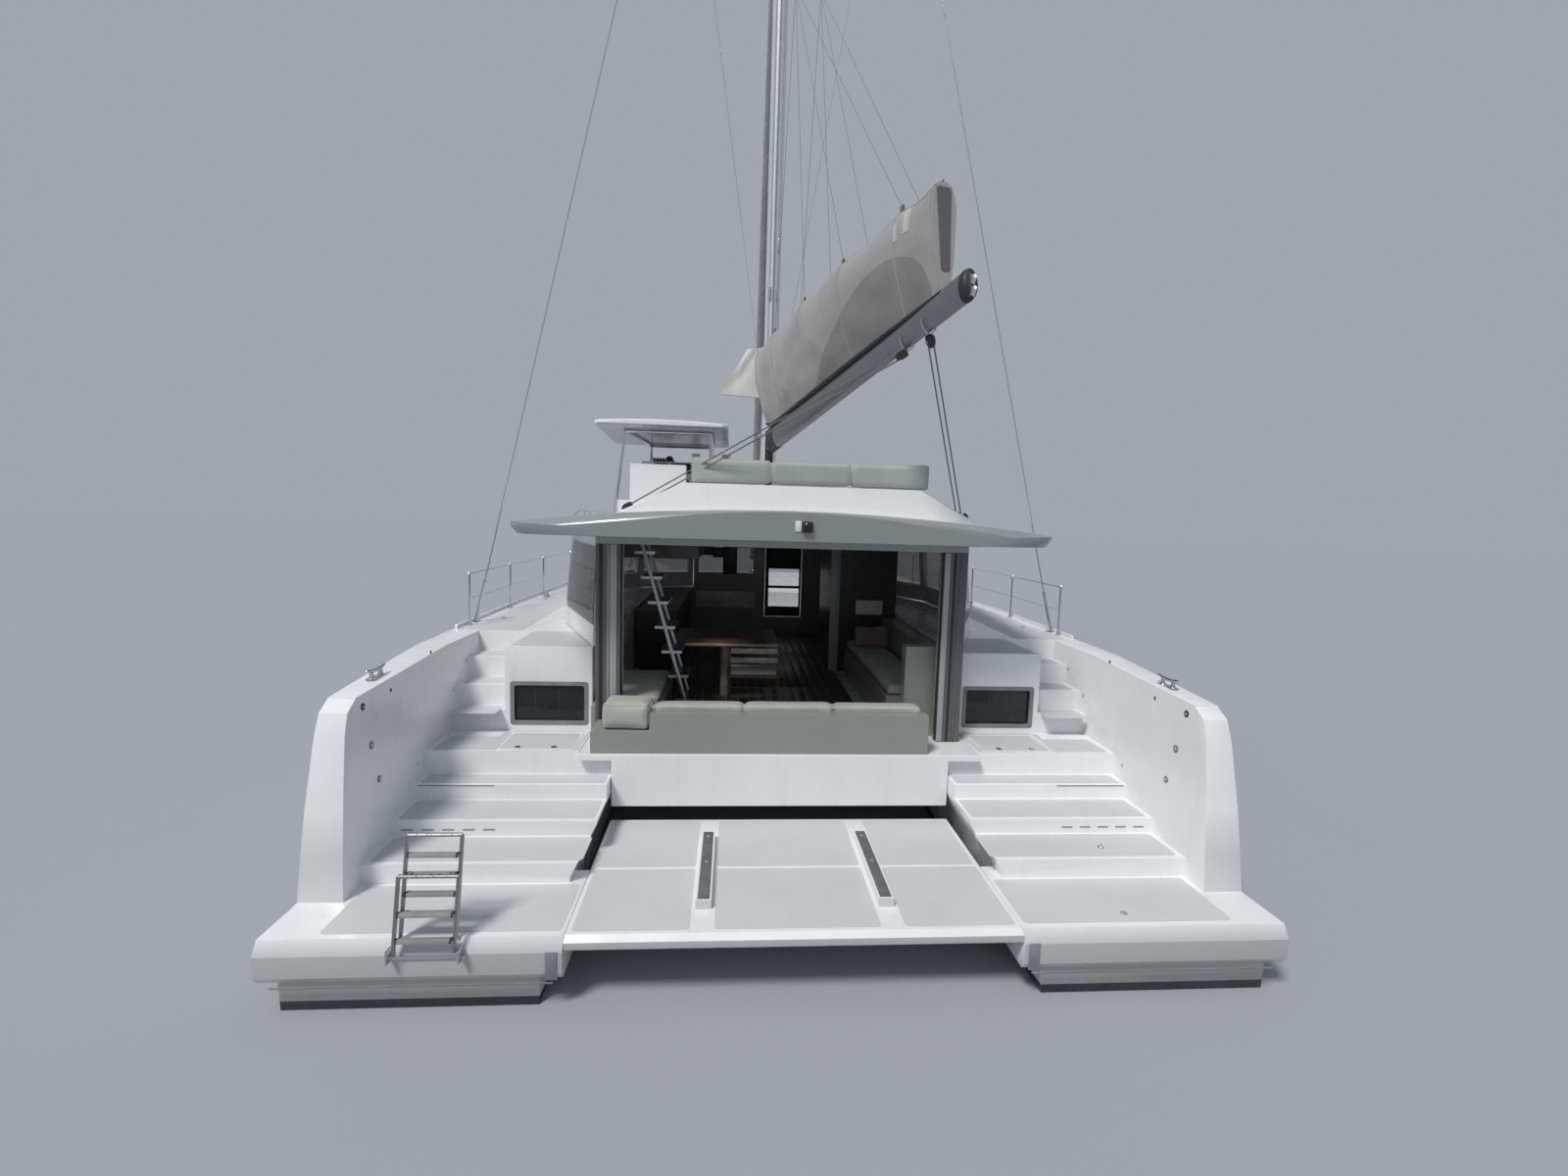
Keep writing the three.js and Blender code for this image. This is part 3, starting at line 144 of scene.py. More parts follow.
# Finishes
class Finish:
    """A Principled material whose colour, roughness and relief come from procedural nodes."""

    def __init__(self, name, colour, roughness, metallic=0.0, **sockets):
        self.material = bpy.data.materials.new(name)
        self.material.use_nodes = True
        self.tree = self.material.node_tree
        self.shader = self.tree.nodes["Principled BSDF"]
        self.shader.inputs["Base Color"].default_value = (*colour, 1)
        self.shader.inputs["Roughness"].default_value = roughness
        self.shader.inputs["Metallic"].default_value = metallic
        for key, value in sockets.items():
            self.shader.inputs[key.replace("_", " ")].default_value = value
        self.colour = colour
        self.base = (*colour, 1)
        self.place = self.tree.nodes.new("ShaderNodeTexCoord").outputs["Object"]
        self.bumped = None

    def add(self, kind, inputs, **settings):
        node = self.tree.nodes.new(kind)
        for key, value in settings.items():
            setattr(node, key, value)
        for key, value in inputs.items():
            if isinstance(value, bpy.types.NodeSocket):
                self.tree.links.new(value, node.inputs[key])
            else:
                node.inputs[key].default_value = value
        return node

    def noise(self, scale, stretch=(1, 1, 1), detail=3.0, distortion=0.0):
        placed = self.add("ShaderNodeMapping", {"Vector": self.place, "Scale": stretch})
        inputs = {"Vector": placed.outputs[0], "Scale": scale, "Detail": detail, "Distortion": distortion}
        return self.add("ShaderNodeTexNoise", inputs).outputs[0]

    def cells(self, scale):
        inputs = {"Vector": self.place, "Scale": scale}
        return self.add("ShaderNodeTexVoronoi", inputs).outputs[0]

    def bands(self, scale, direction):
        inputs = {"Vector": self.place, "Scale": scale}
        return self.add("ShaderNodeTexWave", inputs, bands_direction=direction).outputs[1]

    def axis(self, index):
        return self.add("ShaderNodeSeparateXYZ", {0: self.place}).outputs[index]

    def facing(self, index):
        normal = self.tree.nodes.new("ShaderNodeNewGeometry").outputs["Normal"]
        return self.add("ShaderNodeSeparateXYZ", {0: normal}).outputs[index]

    def ramp(self, value, low, high, start=0.0, end=1.0):
        inputs = {"Value": value, "From Min": low, "From Max": high, "To Min": start, "To Max": end}
        return self.add("ShaderNodeMapRange", inputs).outputs[0]

    def times(self, a, b):
        return self.add("ShaderNodeMath", {0: a, 1: b}, operation="MULTIPLY").outputs[0]

    def tint(self, factor, colour):
        mixed = self.add("ShaderNodeMix", {0: factor, 6: self.base, 7: (*colour, 1)}, data_type="RGBA")
        self.base = mixed.outputs[2]
        self.tree.links.new(self.base, self.shader.inputs["Base Color"])

    def mottle(self, value, low, high, amount, brightness):
        """Tints towards the finish's own colour made darker or lighter, where value passes low to high."""
        self.tint(self.ramp(value, low, high, 0.0, amount), shade(self.colour, brightness))

    def rough(self, value, low, high):
        self.tree.links.new(self.ramp(value, 0.3, 0.7, low, high), self.shader.inputs["Roughness"])

    def relief(self, height, distance, strength):
        inputs = {"Height": height, "Distance": distance, "Strength": strength}
        if self.bumped:
            inputs["Normal"] = self.bumped
        self.bumped = self.add("ShaderNodeBump", inputs).outputs[0]
        self.tree.links.new(self.bumped, self.shader.inputs["Normal"])


def shade(colour, amount):
    return tuple(c * amount for c in colour)


def gelcoat(name, colour, roughness, clouds=0.93):
    f = Finish(name, colour, roughness, Coat_Weight=0.35, Coat_Roughness=0.12)
    f.mottle(f.noise(0.8, detail=5), 0.42, 0.7, 0.8, clouds)
    f.mottle(f.noise(3.2, (3, 3, 0.25), 4), 0.55, 0.8, 0.3, 0.78)
    f.rough(f.noise(4.0, detail=5), roughness * 0.75, roughness * 1.5)
    f.relief(f.noise(2.2), 0.004, 0.35)
    f.relief(f.noise(160), 0.0004, 0.3)
    return f


def hull_finish(name, colour):
    """White gelcoat with painted shade on the stern's aft faces, deeper low down, above dark antifouling."""
    f = gelcoat(name, colour, 0.24)
    # Painted shade: the stern's aft faces tinted grey, and darker still below the platform's top
    aft = f.times(f.ramp(f.facing(1), -0.7, -0.95), f.ramp(f.axis(1), 0.62 - HALF_LENGTH, 0.55 - HALF_LENGTH))
    f.tint(aft, shade(colour, 0.74))
    f.tint(f.times(aft, f.ramp(f.axis(2), 0.52, 0.44)), shade(colour, 0.58))
    low = f.ramp(f.axis(2), ANTIFOULING_Z + 0.32, ANTIFOULING_Z, 0.0, 0.8)
    f.tint(f.times(low, f.ramp(f.noise(5, (1, 1, 0.3), 5), 0.35, 0.7)), (0.50, 0.47, 0.36))
    f.tint(f.ramp(f.axis(2), ANTIFOULING_Z + 0.002, ANTIFOULING_Z), ANTIFOULING)
    return f


def roof_finish(name, colour, painted_shade, level, edge=None):
    """White on top, with painted shade: grey where the skin faces further down than level or lies aft of
    edge.
    """
    f = gelcoat(name, colour, 0.26)
    # Painted shade in grey on faces that look down, and on the after strip
    f.tint(f.ramp(f.facing(2), level + 0.07, level - 0.07), painted_shade)
    if edge is not None:
        f.tint(f.ramp(f.axis(1), edge + 0.003, edge), painted_shade)
    return f


def darker_below(name, colour, height, below):
    """Gelcoat of one colour, and another below a height."""
    f = gelcoat(name, colour, 0.36)
    f.tint(f.ramp(f.axis(2), height + 0.002, height), below)
    return f


def bulkhead_finish(name, colour, inside):
    """White outside, and in another colour on the side that looks aft into the saloon."""
    f = gelcoat(name, colour, 0.36)
    f.tint(f.ramp(f.facing(1), -0.4, -0.6), inside)
    return f


def stair_finish(name, colour, tread):
    """Steel whose treads carry dark pads."""
    f = metal(name, colour, 0.3)
    f.tint(f.ramp(f.facing(2), 0.85, 0.95), tread)
    return f


def non_skid(name, colour):
    f = Finish(name, colour, 0.62)
    f.mottle(f.noise(1.6, detail=5), 0.4, 0.7, 0.7, 0.9)
    f.mottle(f.cells(230), 0.1, 0.5, 0.3, 0.8)
    f.rough(f.noise(7, detail=4), 0.5, 0.75)
    f.relief(f.cells(230), 0.0012, 0.8)
    return f


def metal(name, colour, roughness, stretch=(1, 1, 1), metallic=1.0):
    f = Finish(name, colour, roughness, metallic)
    f.mottle(f.noise(6, detail=5), 0.4, 0.7, 0.5, 0.8)
    f.rough(f.noise(60, stretch, 4), roughness * 0.7, roughness * 1.6)
    f.relief(f.noise(180, stretch), 0.0002, 0.3)
    return f


def glazing(name, colour, alpha, roughness=0.04):
    f = Finish(name, colour, roughness, IOR=1.5)
    f.mottle(f.noise(2.5, detail=4), 0.45, 0.7, 0.4, 1.6)
    f.rough(f.noise(9, detail=5), roughness, roughness * 3)
    f.shader.inputs["Alpha"].default_value = alpha
    return f


def fabric(name, colour, thread, roughness=0.85, light=1.12, dark=0.8, sheen=0.25):
    f = Finish(name, colour, roughness, Sheen_Weight=sheen, Sheen_Roughness=0.5)
    f.mottle(f.noise(2.2, detail=6), 0.4, 0.68, 0.8, dark)
    f.mottle(f.noise(14, detail=3), 0.5, 0.75, 0.35, light)
    weave = f.times(f.bands(thread, "X"), f.times(f.bands(thread, "Y"), f.bands(thread, "Z")))
    f.mottle(weave, 0.1, 0.0, 0.25, 0.62)
    f.rough(f.noise(5), roughness * 0.9, min(1.0, roughness * 1.12))
    f.relief(weave, 0.0006, 0.5)
    f.relief(f.noise(9, detail=4), 0.004, 0.35)
    return f


def timber(name, colour, stretch=(6, 1, 6)):
    f = Finish(name, colour, 0.42, Coat_Weight=0.2, Coat_Roughness=0.25)
    grain = f.noise(5, stretch, 6, 1.2)
    f.mottle(grain, 0.38, 0.62, 1.0, 0.55)
    f.mottle(f.noise(60, stretch, 3), 0.5, 0.8, 0.5, 0.4)
    f.rough(grain, 0.34, 0.55)
    f.relief(grain, 0.0006, 0.4)
    return f


def plastic(name, colour, roughness=0.5):
    f = Finish(name, colour, roughness)
    f.mottle(f.noise(6, detail=4), 0.4, 0.7, 0.6, 1.5)
    f.rough(f.noise(18, detail=4), roughness * 0.8, min(1.0, roughness * 1.3))
    f.relief(f.noise(220), 0.0003, 0.4)
    return f


def rope_finish(name, colour, fleck):
    f = Finish(name, colour, 0.85, Sheen_Weight=0.3)
    f.tint(f.ramp(f.cells(420), 0.2, 0.6, 0.0, 0.8), fleck)
    f.relief(f.bands(900, "DIAGONAL"), 0.001, 0.6)
    return f


FINISHES = {
    "gelcoat": gelcoat("gelcoat", WHITE, 0.26),
    "hull": hull_finish("hull_gelcoat", WHITE),
    # Painted shade: grey on the hardtop's and the bimini's downward faces and on the hardtop's after fascia
    "roof": roof_finish("roof_gelcoat", WHITE, (0.25, 0.28, 0.285), 0.67, 2.38 - HALF_LENGTH),
    "bimini": roof_finish("bimini_gelcoat", WHITE, (0.34, 0.375, 0.39), -0.3),
    # Painted shade: the helm tub goes near black below the roof's level, where it hangs in the hardtop's
    # shade
    "tub": darker_below("tub_gelcoat_painted_shade", WHITE, 3.255, (0.07, 0.07, 0.073)),
    "portal": darker_below("portal_gelcoat", (0.33, 0.36, 0.355), 3.17, (0.10, 0.103, 0.108)),
    "grey": gelcoat("grey_gelcoat", (0.36, 0.395, 0.39), 0.36, 0.88),
    # Partly painted shade: the seats' stone grey made darker for the hardtop's shade over them
    "stone": gelcoat("stone_gelcoat_with_shade", (0.27, 0.285, 0.26), 0.42, 0.9),
    "grip": non_skid("non_skid", (0.60, 0.63, 0.655)),
    "sole": timber("sole_boards", (0.15, 0.10, 0.075), (14, 1, 1)),
    "wood": timber("walnut", (0.16, 0.085, 0.055), (1, 6, 6)),
    "pale_wood": timber("pale_edging", (0.48, 0.40, 0.34), (1, 6, 6)),
    "bulkhead": bulkhead_finish("bulkhead_gelcoat", WHITE, (0.25, 0.25, 0.26)),
    "dark_wood": timber("dark_walnut", (0.06, 0.045, 0.04), (1, 1, 7)),
    "alloy": metal("anodised_alloy", (0.68, 0.70, 0.72), 0.32, (8, 8, 0.4)),
    "mast": metal("mast_alloy", (0.74, 0.77, 0.81), 0.3, (8, 8, 0.4), 0.45),
    # Partly painted shade: the boom's grey alloy made darker for the shade along it
    "spar": metal("spar_alloy_with_shade", (0.30, 0.305, 0.32), 0.42, (8, 0.4, 8)),
    "steel": metal("polished_steel", (0.66, 0.67, 0.68), 0.16),
    "dull_steel": metal("weathered_steel", (0.36, 0.37, 0.375), 0.3),
    "stair": stair_finish("stair_steel", (0.50, 0.51, 0.52), (0.10, 0.10, 0.105)),
    "bronze": metal("cast_bronze", (0.45, 0.33, 0.17), 0.35),
    "black": plastic("black_plastic", (0.02, 0.021, 0.023)),
    "rubber": plastic("grey_rubber", (0.11, 0.115, 0.12), 0.75),
    "trim": plastic("grey_trim", (0.20, 0.20, 0.225), 0.5),
    "white_plastic": plastic("white_plastic", (0.62, 0.63, 0.63), 0.4),
    "tread": plastic("ladder_tread", (0.25, 0.255, 0.25), 0.6),
    "antifoul": plastic("antifouling", ANTIFOULING, 0.8),
    "engine": plastic("engine_paint", (0.20, 0.21, 0.22), 0.45),
    "screen": glazing("screen", (0.01, 0.014, 0.018), 1.0),
    "pane": glazing("tinted_pane", (0.012, 0.014, 0.019), 0.6),
    "clear": glazing("clear_pane", (0.05, 0.06, 0.065), 0.2),
    "acrylic": glazing("smoked_acrylic", (0.02, 0.024, 0.03), 0.93, 0.08),
    "lens": glazing("frosted_lens", (0.75, 0.78, 0.8), 0.85, 0.2),
    "bag": fabric("bag_cloth", (0.35, 0.345, 0.34), 260, 0.9),
    "sail": fabric("sailcloth", (0.72, 0.72, 0.69), 320, 0.7, 1.1, 0.86, 0.1),
    "strip": fabric("sun_strip", (0.27, 0.275, 0.285), 280, 0.85),
    # Painted shade cloth for the bag's lower side
    "bag_shade": fabric("bag_cloth_painted_shade", (0.235, 0.232, 0.228), 260, 0.9),
    "patch": fabric("patch_cloth", (0.50, 0.50, 0.48), 260, 0.9),
    "vinyl": fabric("cushion_vinyl", (0.40, 0.45, 0.42), 300, 0.72),
    "pale_vinyl": fabric("pale_cushion", (0.42, 0.435, 0.39), 300, 0.72),
    "webbing": fabric("webbing", (0.10, 0.105, 0.11), 500, 0.85),
    "rose": fabric("rose_cushion", (0.25, 0.175, 0.165), 300, 0.8),
    "rope": rope_finish("white_rope", (0.55, 0.55, 0.52), (0.12, 0.16, 0.25)),
    "grey_rope": rope_finish("grey_rope", (0.21, 0.225, 0.245), (0.12, 0.13, 0.15)),
    "dark_rope": rope_finish("dark_rope", (0.06, 0.065, 0.07), (0.22, 0.22, 0.21)),
}
F = {key: finish.material for key, finish in FINISHES.items()}


# Lathe shapes. Columns: radius, height
PROFILES = {
    "screw_head": [(0.0, 0), (0.016, 0), (0.013, 0.006), (0, 0.007)],
    "stanchion_foot": [(0, 0), (0.042, 0), (0.042, 0.006), (0.02, 0.012), (0.018, 0.05), (0.0145, 0.052)],
    "stanchion_cap": [(0.016, 0), (0.017, 0.004), (0.012, 0.012), (0, 0.014)],
    "hatch_knob": [(0.022, 0), (0.022, 0.008), (0.012, 0.012), (0, 0.012)],
    "pad_lug": [(0, 0), (0.032, 0), (0.03, 0.008), (0.012, 0.012), (0.011, 0.03), (0, 0.034)],
    "drain": [(0, 0), (0.03, 0), (0.028, 0.005), (0.02, 0.006), (0.012, 0.003), (0, 0.003)],
    "lift_ring": [(0, 0), (0.03, 0), (0.03, 0.005), (0.022, 0.007), (0.01, 0.004), (0, 0.004)],
    "windlass": [(0.084, 0), (0.086, 0.024), (0.064, 0.046), (0.06, 0.076), (0.08, 0.092), (0.079, 0.104),
        (0.074, 0.124), (0.034, 0.133), (0, 0.134)],
    "lid_ring": [(0, 0), (0.03, 0), (0.03, 0.005), (0.02, 0.007), (0, 0.004)],
    "rail_foot": [(0.03, 0), (0.03, 0.005), (0.014, 0.01)],
    "block_foot": [(0, 0), (0.04, 0), (0.04, 0.01), (0.02, 0.02), (0.017, 0.05)],
    "stern_lens": [(0.036, 0), (0.034, 0.01), (0.024, 0.018), (0, 0.022)],
    "liner_light": [(0.03, 0), (0.03, 0.006), (0.02, 0.009), (0, 0.009)],
    "lever_knob": [(0.0, 0), (0.014, 0.005), (0.016, 0.02), (0.01, 0.035), (0, 0.038)],
    "compass_base": [(0.075, 0), (0.075, 0.02), (0.065, 0.03), (0.06, 0.032)],
    "compass_dome": [(0.06, 0), (0.056, 0.03), (0.04, 0.052), (0.02, 0.062), (0, 0.064)],
    "wheel_hub": [(0.052, -0.03), (0.055, 0.0), (0.045, 0.03), (0.02, 0.036), (0, 0.037)],
    "winch": [(0.076, 0), (0.078, 0.012), (0.07, 0.02), (0.06, 0.035), (0.053, 0.06), (0.056, 0.085),
        (0.071, 0.098), (0.072, 0.108), (0.062, 0.113), (0.062, 0.121), (0.072, 0.126), (0.071, 0.136),
        (0.045, 0.145), (0.02, 0.148), (0.018, 0.142), (0, 0.142)],
    "mast_winch": [(0.05, 0), (0.05, 0.01), (0.034, 0.02), (0.032, 0.05), (0.045, 0.06), (0.045, 0.07),
        (0, 0.075)],
    "masthead_sheave": [(0.045, -0.02), (0.036, -0.008), (0.036, 0.008), (0.045, 0.02)],
    "deck_light": [(0.03, 0), (0.034, 0.03), (0.05, 0.05), (0.05, 0.06), (0, 0.062)],
    "boom_sheave": [(0.05, -0.02), (0.04, -0.006), (0.04, 0.006), (0.05, 0.02)],
    "block_wheel": [(0.034, -0.012), (0.027, -0.004), (0.027, 0.004), (0.034, 0.012)],
    "sheet_foot": [(0, -0.02), (0.035, -0.02), (0.035, -0.012), (0.012, 0.0), (0.01, 0.03)],
    "furler_drum": [(0.03, 0), (0.095, 0.004), (0.097, 0.012), (0.06, 0.02), (0.055, 0.16), (0.06, 0.2),
        (0.095, 0.212), (0.096, 0.222), (0.03, 0.23), (0.026, 0.26)],
    "drum_rope": [(0.058, 0), (0.075, 0.03), (0.076, 0.1), (0.058, 0.13)],
    "ceiling_light": [(0.045, 0), (0.045, 0.006), (0.03, 0.009), (0, 0.009)],
}


# Mesh making
def quads(bm, rows, ring=False, flip=False):
    """Faces between rows of vertices that follow one another; a ring's rows close on themselves."""
    for a, b in zip(rows, rows[1:]):
        for i in range(len(a) if ring else len(a) - 1):
            j = (i + 1) % len(a)
            bm.faces.new((a[i], b[i], b[j], a[j]) if flip else (a[i], a[j], b[j], b[i]))


def shift_new(bm, made, by):
    verts = [g for g in made["geom"] if isinstance(g, bmesh.types.BMVert)]
    bmesh.ops.translate(bm, vec=by, verts=verts)


def rim_of(bm):
    return [e for e in bm.edges if len(e.link_faces) == 1]


def turn_rim(bm, by):
    """Folds the open rim of a patch over, along by."""
    shift_new(bm, bmesh.ops.extrude_edge_only(bm, edges=rim_of(bm)), by)


def thicken(bm, by):
    shift_new(bm, bmesh.ops.extrude_face_region(bm, geom=bm.faces[:]), by)
    bmesh.ops.recalc_face_normals(bm, faces=bm.faces)


def cube(size, centre):
    bm = bmesh.new()
    bmesh.ops.create_cube(bm, size=1)
    bmesh.ops.scale(bm, vec=size, verts=bm.verts)
    bmesh.ops.translate(bm, vec=centre, verts=bm.verts)
    return bm


def soften(bm, edges, width, segments, clamp=False):
    bmesh.ops.bevel(bm, geom=edges, offset=width, segments=segments, profile=0.5, affect="EDGES",
                    clamp_overlap=clamp)


class Piece:
    """One object under construction: solids are added to it, each with its own finish."""

    def __init__(self, name, body="root"):
        self.name = name
        self.body = body
        self.bm = bmesh.new()
        self.finishes = []

    def take(self, bm, finish, turn=None):
        if turn is not None:
            bmesh.ops.transform(bm, matrix=turn, verts=bm.verts)
        if finish not in self.finishes:
            self.finishes.append(finish)
        for face in bm.faces:
            face.material_index = self.finishes.index(finish)
        self.join(bm)

    def join(self, bm):
        for face in bm.faces:
            face.smooth = True
        mesh = mesh_of(bm, "part")
        self.bm.from_mesh(mesh)
        bpy.data.meshes.remove(mesh)

    def box(self, low, high, finish, edge=0.0, turn=None, segments=2):
        low, high = Vector(low), Vector(high)
        bm = cube(high - low, (low + high) / 2)
        if edge:
            soften(bm, bm.edges[:], edge, segments)
        self.take(bm, finish, turn)

    def loft(self, rings, finish, closed=False, turn=None):
        bm = bmesh.new()
        rows = [[bm.verts.new(p) for p in ring] for ring in rings]
        quads(bm, rows + rows[:1] if closed else rows, ring=True)
        if not closed:
            bm.faces.new(rows[0][::-1])
            bm.faces.new(rows[-1])
        bmesh.ops.recalc_face_normals(bm, faces=bm.faces)
        self.take(bm, finish, turn)

    def tube(self, points, radius, finish, sides=8, closed=False, turn=None):
        points = [Vector(p) for p in points]
        radii = radius if isinstance(radius, (list, tuple)) else [radius] * len(points)
        rings = []
        side = None
        for i, point in enumerate(points):
            before = points[i - 1] if i or closed else point
            after = points[(i + 1) % len(points)] if i + 1 < len(points) or closed else point
            along = (after - before).normalized()
            if side is None:
                side = along.orthogonal()
            side = (side - along * side.dot(along)).normalized()
            other = along.cross(side)
            spokes = [math.cos(a) * side + math.sin(a) * other for a in angles(sides)]
            rings.append([point + radii[i] * spoke for spoke in spokes])
        self.loft(rings, finish, closed, turn)

    def turned(self, profile, foot, finish="steel", sides=20, direction=(0, 0, 1)):
        """A lathe shape, by its name or its rows, that stands on foot along direction."""
        rows = PROFILES[profile] if isinstance(profile, str) else profile
        rings = [[V(r * math.cos(a), r * math.sin(a), h) for a in angles(sides)] for r, h in rows]
        self.loft(rings, finish, turn=Matrix.Translation(Vector(foot)) @ pointing(direction))

    def slab(self, outline, low, high, finish, edge=0.0, turn=None):
        """An outline in the XY plane made thick, with its upper edge rounded."""
        bm = bmesh.new()
        base = [bm.verts.new((x, y, low)) for x, y in outline]
        top = [bm.verts.new((x, y, high)) for x, y in outline]
        quads(bm, [base, top], ring=True)
        bm.faces.new(base[::-1])
        upper = bm.faces.new(top)
        bmesh.ops.recalc_face_normals(bm, faces=bm.faces)
        if edge:
            soften(bm, upper.edges[:], edge, 2)
        self.take(bm, finish, turn)

    def pad(self, outline, height_at, cell=0.25):
        """A thin grip pad that follows a surface: height_at gives the surface's z at x, y."""
        bm = bmesh.new()
        bm.faces.new([bm.verts.new((x, y, 0)) for x, y in outline])
        for axis in (0, 1):
            low = min(p[axis] for p in outline)
            high = max(p[axis] for p in outline)
            normal = V(1 - axis, axis, 0)
            for value in np.arange(low + cell, high - cell * 0.3, cell):
                bmesh.ops.bisect_plane(bm, geom=bm.verts[:] + bm.edges[:] + bm.faces[:],
                                       plane_co=normal * float(value), plane_no=normal)
        for v in bm.verts:
            v.co.z = height_at(v.co.x, v.co.y) + PAD_LIFT
        turn_rim(bm, (0, 0, -PAD_DEPTH))
        bmesh.ops.recalc_face_normals(bm, faces=bm.faces)
        if sum(f.normal.z for f in bm.faces) < 0:
            bmesh.ops.reverse_faces(bm, faces=bm.faces)
        self.take(bm, "grip")

    def done(self, replaces=(), sharp=38, ride=True):
        """Makes the object, and has it ride on its body."""
        mesh = mesh_of(self.bm, self.name)
        for finish in self.finishes:
            mesh.materials.append(F[finish])
        mesh.set_sharp_from_angle(angle=math.radians(sharp))
        obj = add_object(self.name, mesh)
        if replaces:
            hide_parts(*replaces)
        if ride:
            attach(obj, self.body)
        return obj


def rounded(points, radius, steps=4):
    """An outline with each corner replaced by an arc."""
    corners = [Vector(p) for p in points]
    made = []
    for i, corner in enumerate(corners):
        before = corners[i - 1] - corner
        after = corners[(i + 1) % len(corners)] - corner
        reach = min(radius, before.length * 0.45, after.length * 0.45)
        a = corner + before.normalized() * reach
        b = corner + after.normalized() * reach
        for k in range(steps + 1):
            t = k / steps
            made.append((1 - t) ** 2 * a + 2 * t * (1 - t) * corner + t * t * b)
    return [tuple(p) for p in made]


def oblong(x0, y0, x1, y1, radius, steps=4):
    """A rectangle between two opposite corners, with all corners rounded."""
    return rounded([(x0, y0), (x1, y0), (x1, y1), (x0, y1)], radius, steps)


def centred(half, long, radius, steps=4):
    return oblong(-half, -long, half, long, radius, steps)


def rectangle(x0, s0, x1, s1, radius=0.04):
    """An oblong on the deck, between two stations."""
    return oblong(x0, s0 - HALF_LENGTH, x1, s1 - HALF_LENGTH, radius)


def at_height(z):
    return lambda x, y: z


def spline(rows, per):
    """Rows of numbers joined by a smooth curve through them, with per steps between each pair."""
    rows = [np.array(row, float) for row in rows]
    padded = [2 * rows[0] - rows[1], *rows, 2 * rows[-1] - rows[-2]]
    made = []
    for a, b, c, d in zip(padded, padded[1:], padded[2:], padded[3:]):
        for k in range(per):
            t = k / per
            second = (2 * a - 5 * b + 4 * c - d) * t**2
            third = (3 * b - a - 3 * c + d) * t**3
            made.append(0.5 * (2 * b + (c - a) * t + second + third))
    made.append(rows[-1])
    return made


# Where the rays that look for a skin start
ABOVE_ALL = 6.0
OUTBOARD = 5.0


class Surface:
    """Finds points on a CAD node's skin."""

    def __init__(self, node):
        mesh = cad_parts[node].data
        mesh.calc_loop_triangles()
        faces = [triangle.vertices for triangle in mesh.loop_triangles]
        self.tree = BVHTree.FromPolygons([v.co for v in mesh.vertices], faces)

    def below(self, x, y):
        return self.tree.ray_cast(V(x, y, ABOVE_ALL), V(0, 0, -1))

    def height(self, x, y):
        hit = self.below(x, y)
        return hit[0].z if hit[0] else 0.0

    def from_side(self, side, y, z):
        """Where a ray from outboard on that side meets the node, and its normal."""
        hit = self.tree.ray_cast(V(side * OUTBOARD, y, z), V(-side, 0, 0))
        return hit[0], hit[1]

    def seat(self, x, station):
        """A frame on the surface, with its Z axis along the skin's normal."""
        hit = self.below(x, station - HALF_LENGTH)
        return Matrix.Translation(hit[0]) @ pointing(hit[1])


SKIN = {name: Surface(name) for name in ("hull_starboard", "hull_port", "hardtop")}


# CAD solids that keep their shape
def dress(name, finish, edge, slot):
    """Gives a CAD node its finish, and rounds its edges with modifiers."""
    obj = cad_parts[name]
    obj.data.materials.clear()
    obj.data.materials.append(F[finish])
    for polygon in obj.data.polygons:
        polygon.use_smooth = True
    weld = obj.modifiers.new("weld", "WELD")
    weld.merge_threshold = 1e-5
    if edge:
        flat = obj.modifiers.new("flat", "DECIMATE")
        flat.decimate_type = "DISSOLVE"
        flat.angle_limit = math.radians(0.5)
        bevel = obj.modifiers.new("edges", "BEVEL")
        bevel.width = edge
        bevel.segments = 2
        bevel.limit_method = "ANGLE"
        bevel.angle_limit = math.radians(32)
    parted = obj.modifiers.new("sharp", "EDGE_SPLIT")
    parted.split_angle = math.radians(40)
    if edge:
        obj.modifiers.new("even", "WEIGHTED_NORMAL").keep_sharp = True


# Columns: node, finish, rounded edge, record slot
KEPT = [
    ("bridge_deck", "hull", 0.012, "gelcoat"),
    ("stern_platform", "hull", 0.012, "non_skid"),
    ("foredeck", "gelcoat", 0.012, "gelcoat"),
    ("anchor_locker_lid", "gelcoat", 0.006, "non_skid"),
    ("crossbeam", "alloy", 0.0, "bare_alloy"),
    ("front_bulkhead", "bulkhead", 0.006, "gelcoat"),
    ("front_glass", "pane", 0.0, "tinted_glass"),
    ("aft_portal", "portal", 0.01, "grey_gelcoat"),
    ("hardtop", "roof", 0.02, "gelcoat"),
    ("fly_coaming", "gelcoat", 0.02, "gelcoat"),
    ("fly_stairs", "stair", 0.003, "stainless"),
    ("helm_tub", "tub", 0.015, "gelcoat"),
    ("helm_console", "gelcoat", 0.02, "gelcoat"),
    ("steering_wheel", "steel", 0.0, "stainless"),
    ("helm_bimini", "bimini", 0.014, "gelcoat"),
    ("bimini_frame", "steel", 0.0, "stainless"),
    ("mast", "mast", 0.0, "bare_alloy"),
    ("boom", "spar", 0.0, "bare_alloy"),
    ("ladder_bracket", "steel", 0.002, "stainless"),
    ("ladder", "dull_steel", 0.0, "stainless"),
    ("ladder_extension", "dull_steel", 0.0, "stainless"),
    ("cockpit_bench", "stone", 0.014, "grey_gelcoat"),
    ("sofa", "stone", 0.014, "grey_gelcoat"),
    ("galley", "dark_wood", 0.006, "wood"),
    ("saloon_table", "wood", 0.006, "wood"),
    ("saloon_cabinet", "dark_wood", 0.006, "wood"),
    ("port_seat", "stone", 0.014, "grey_gelcoat"),
]
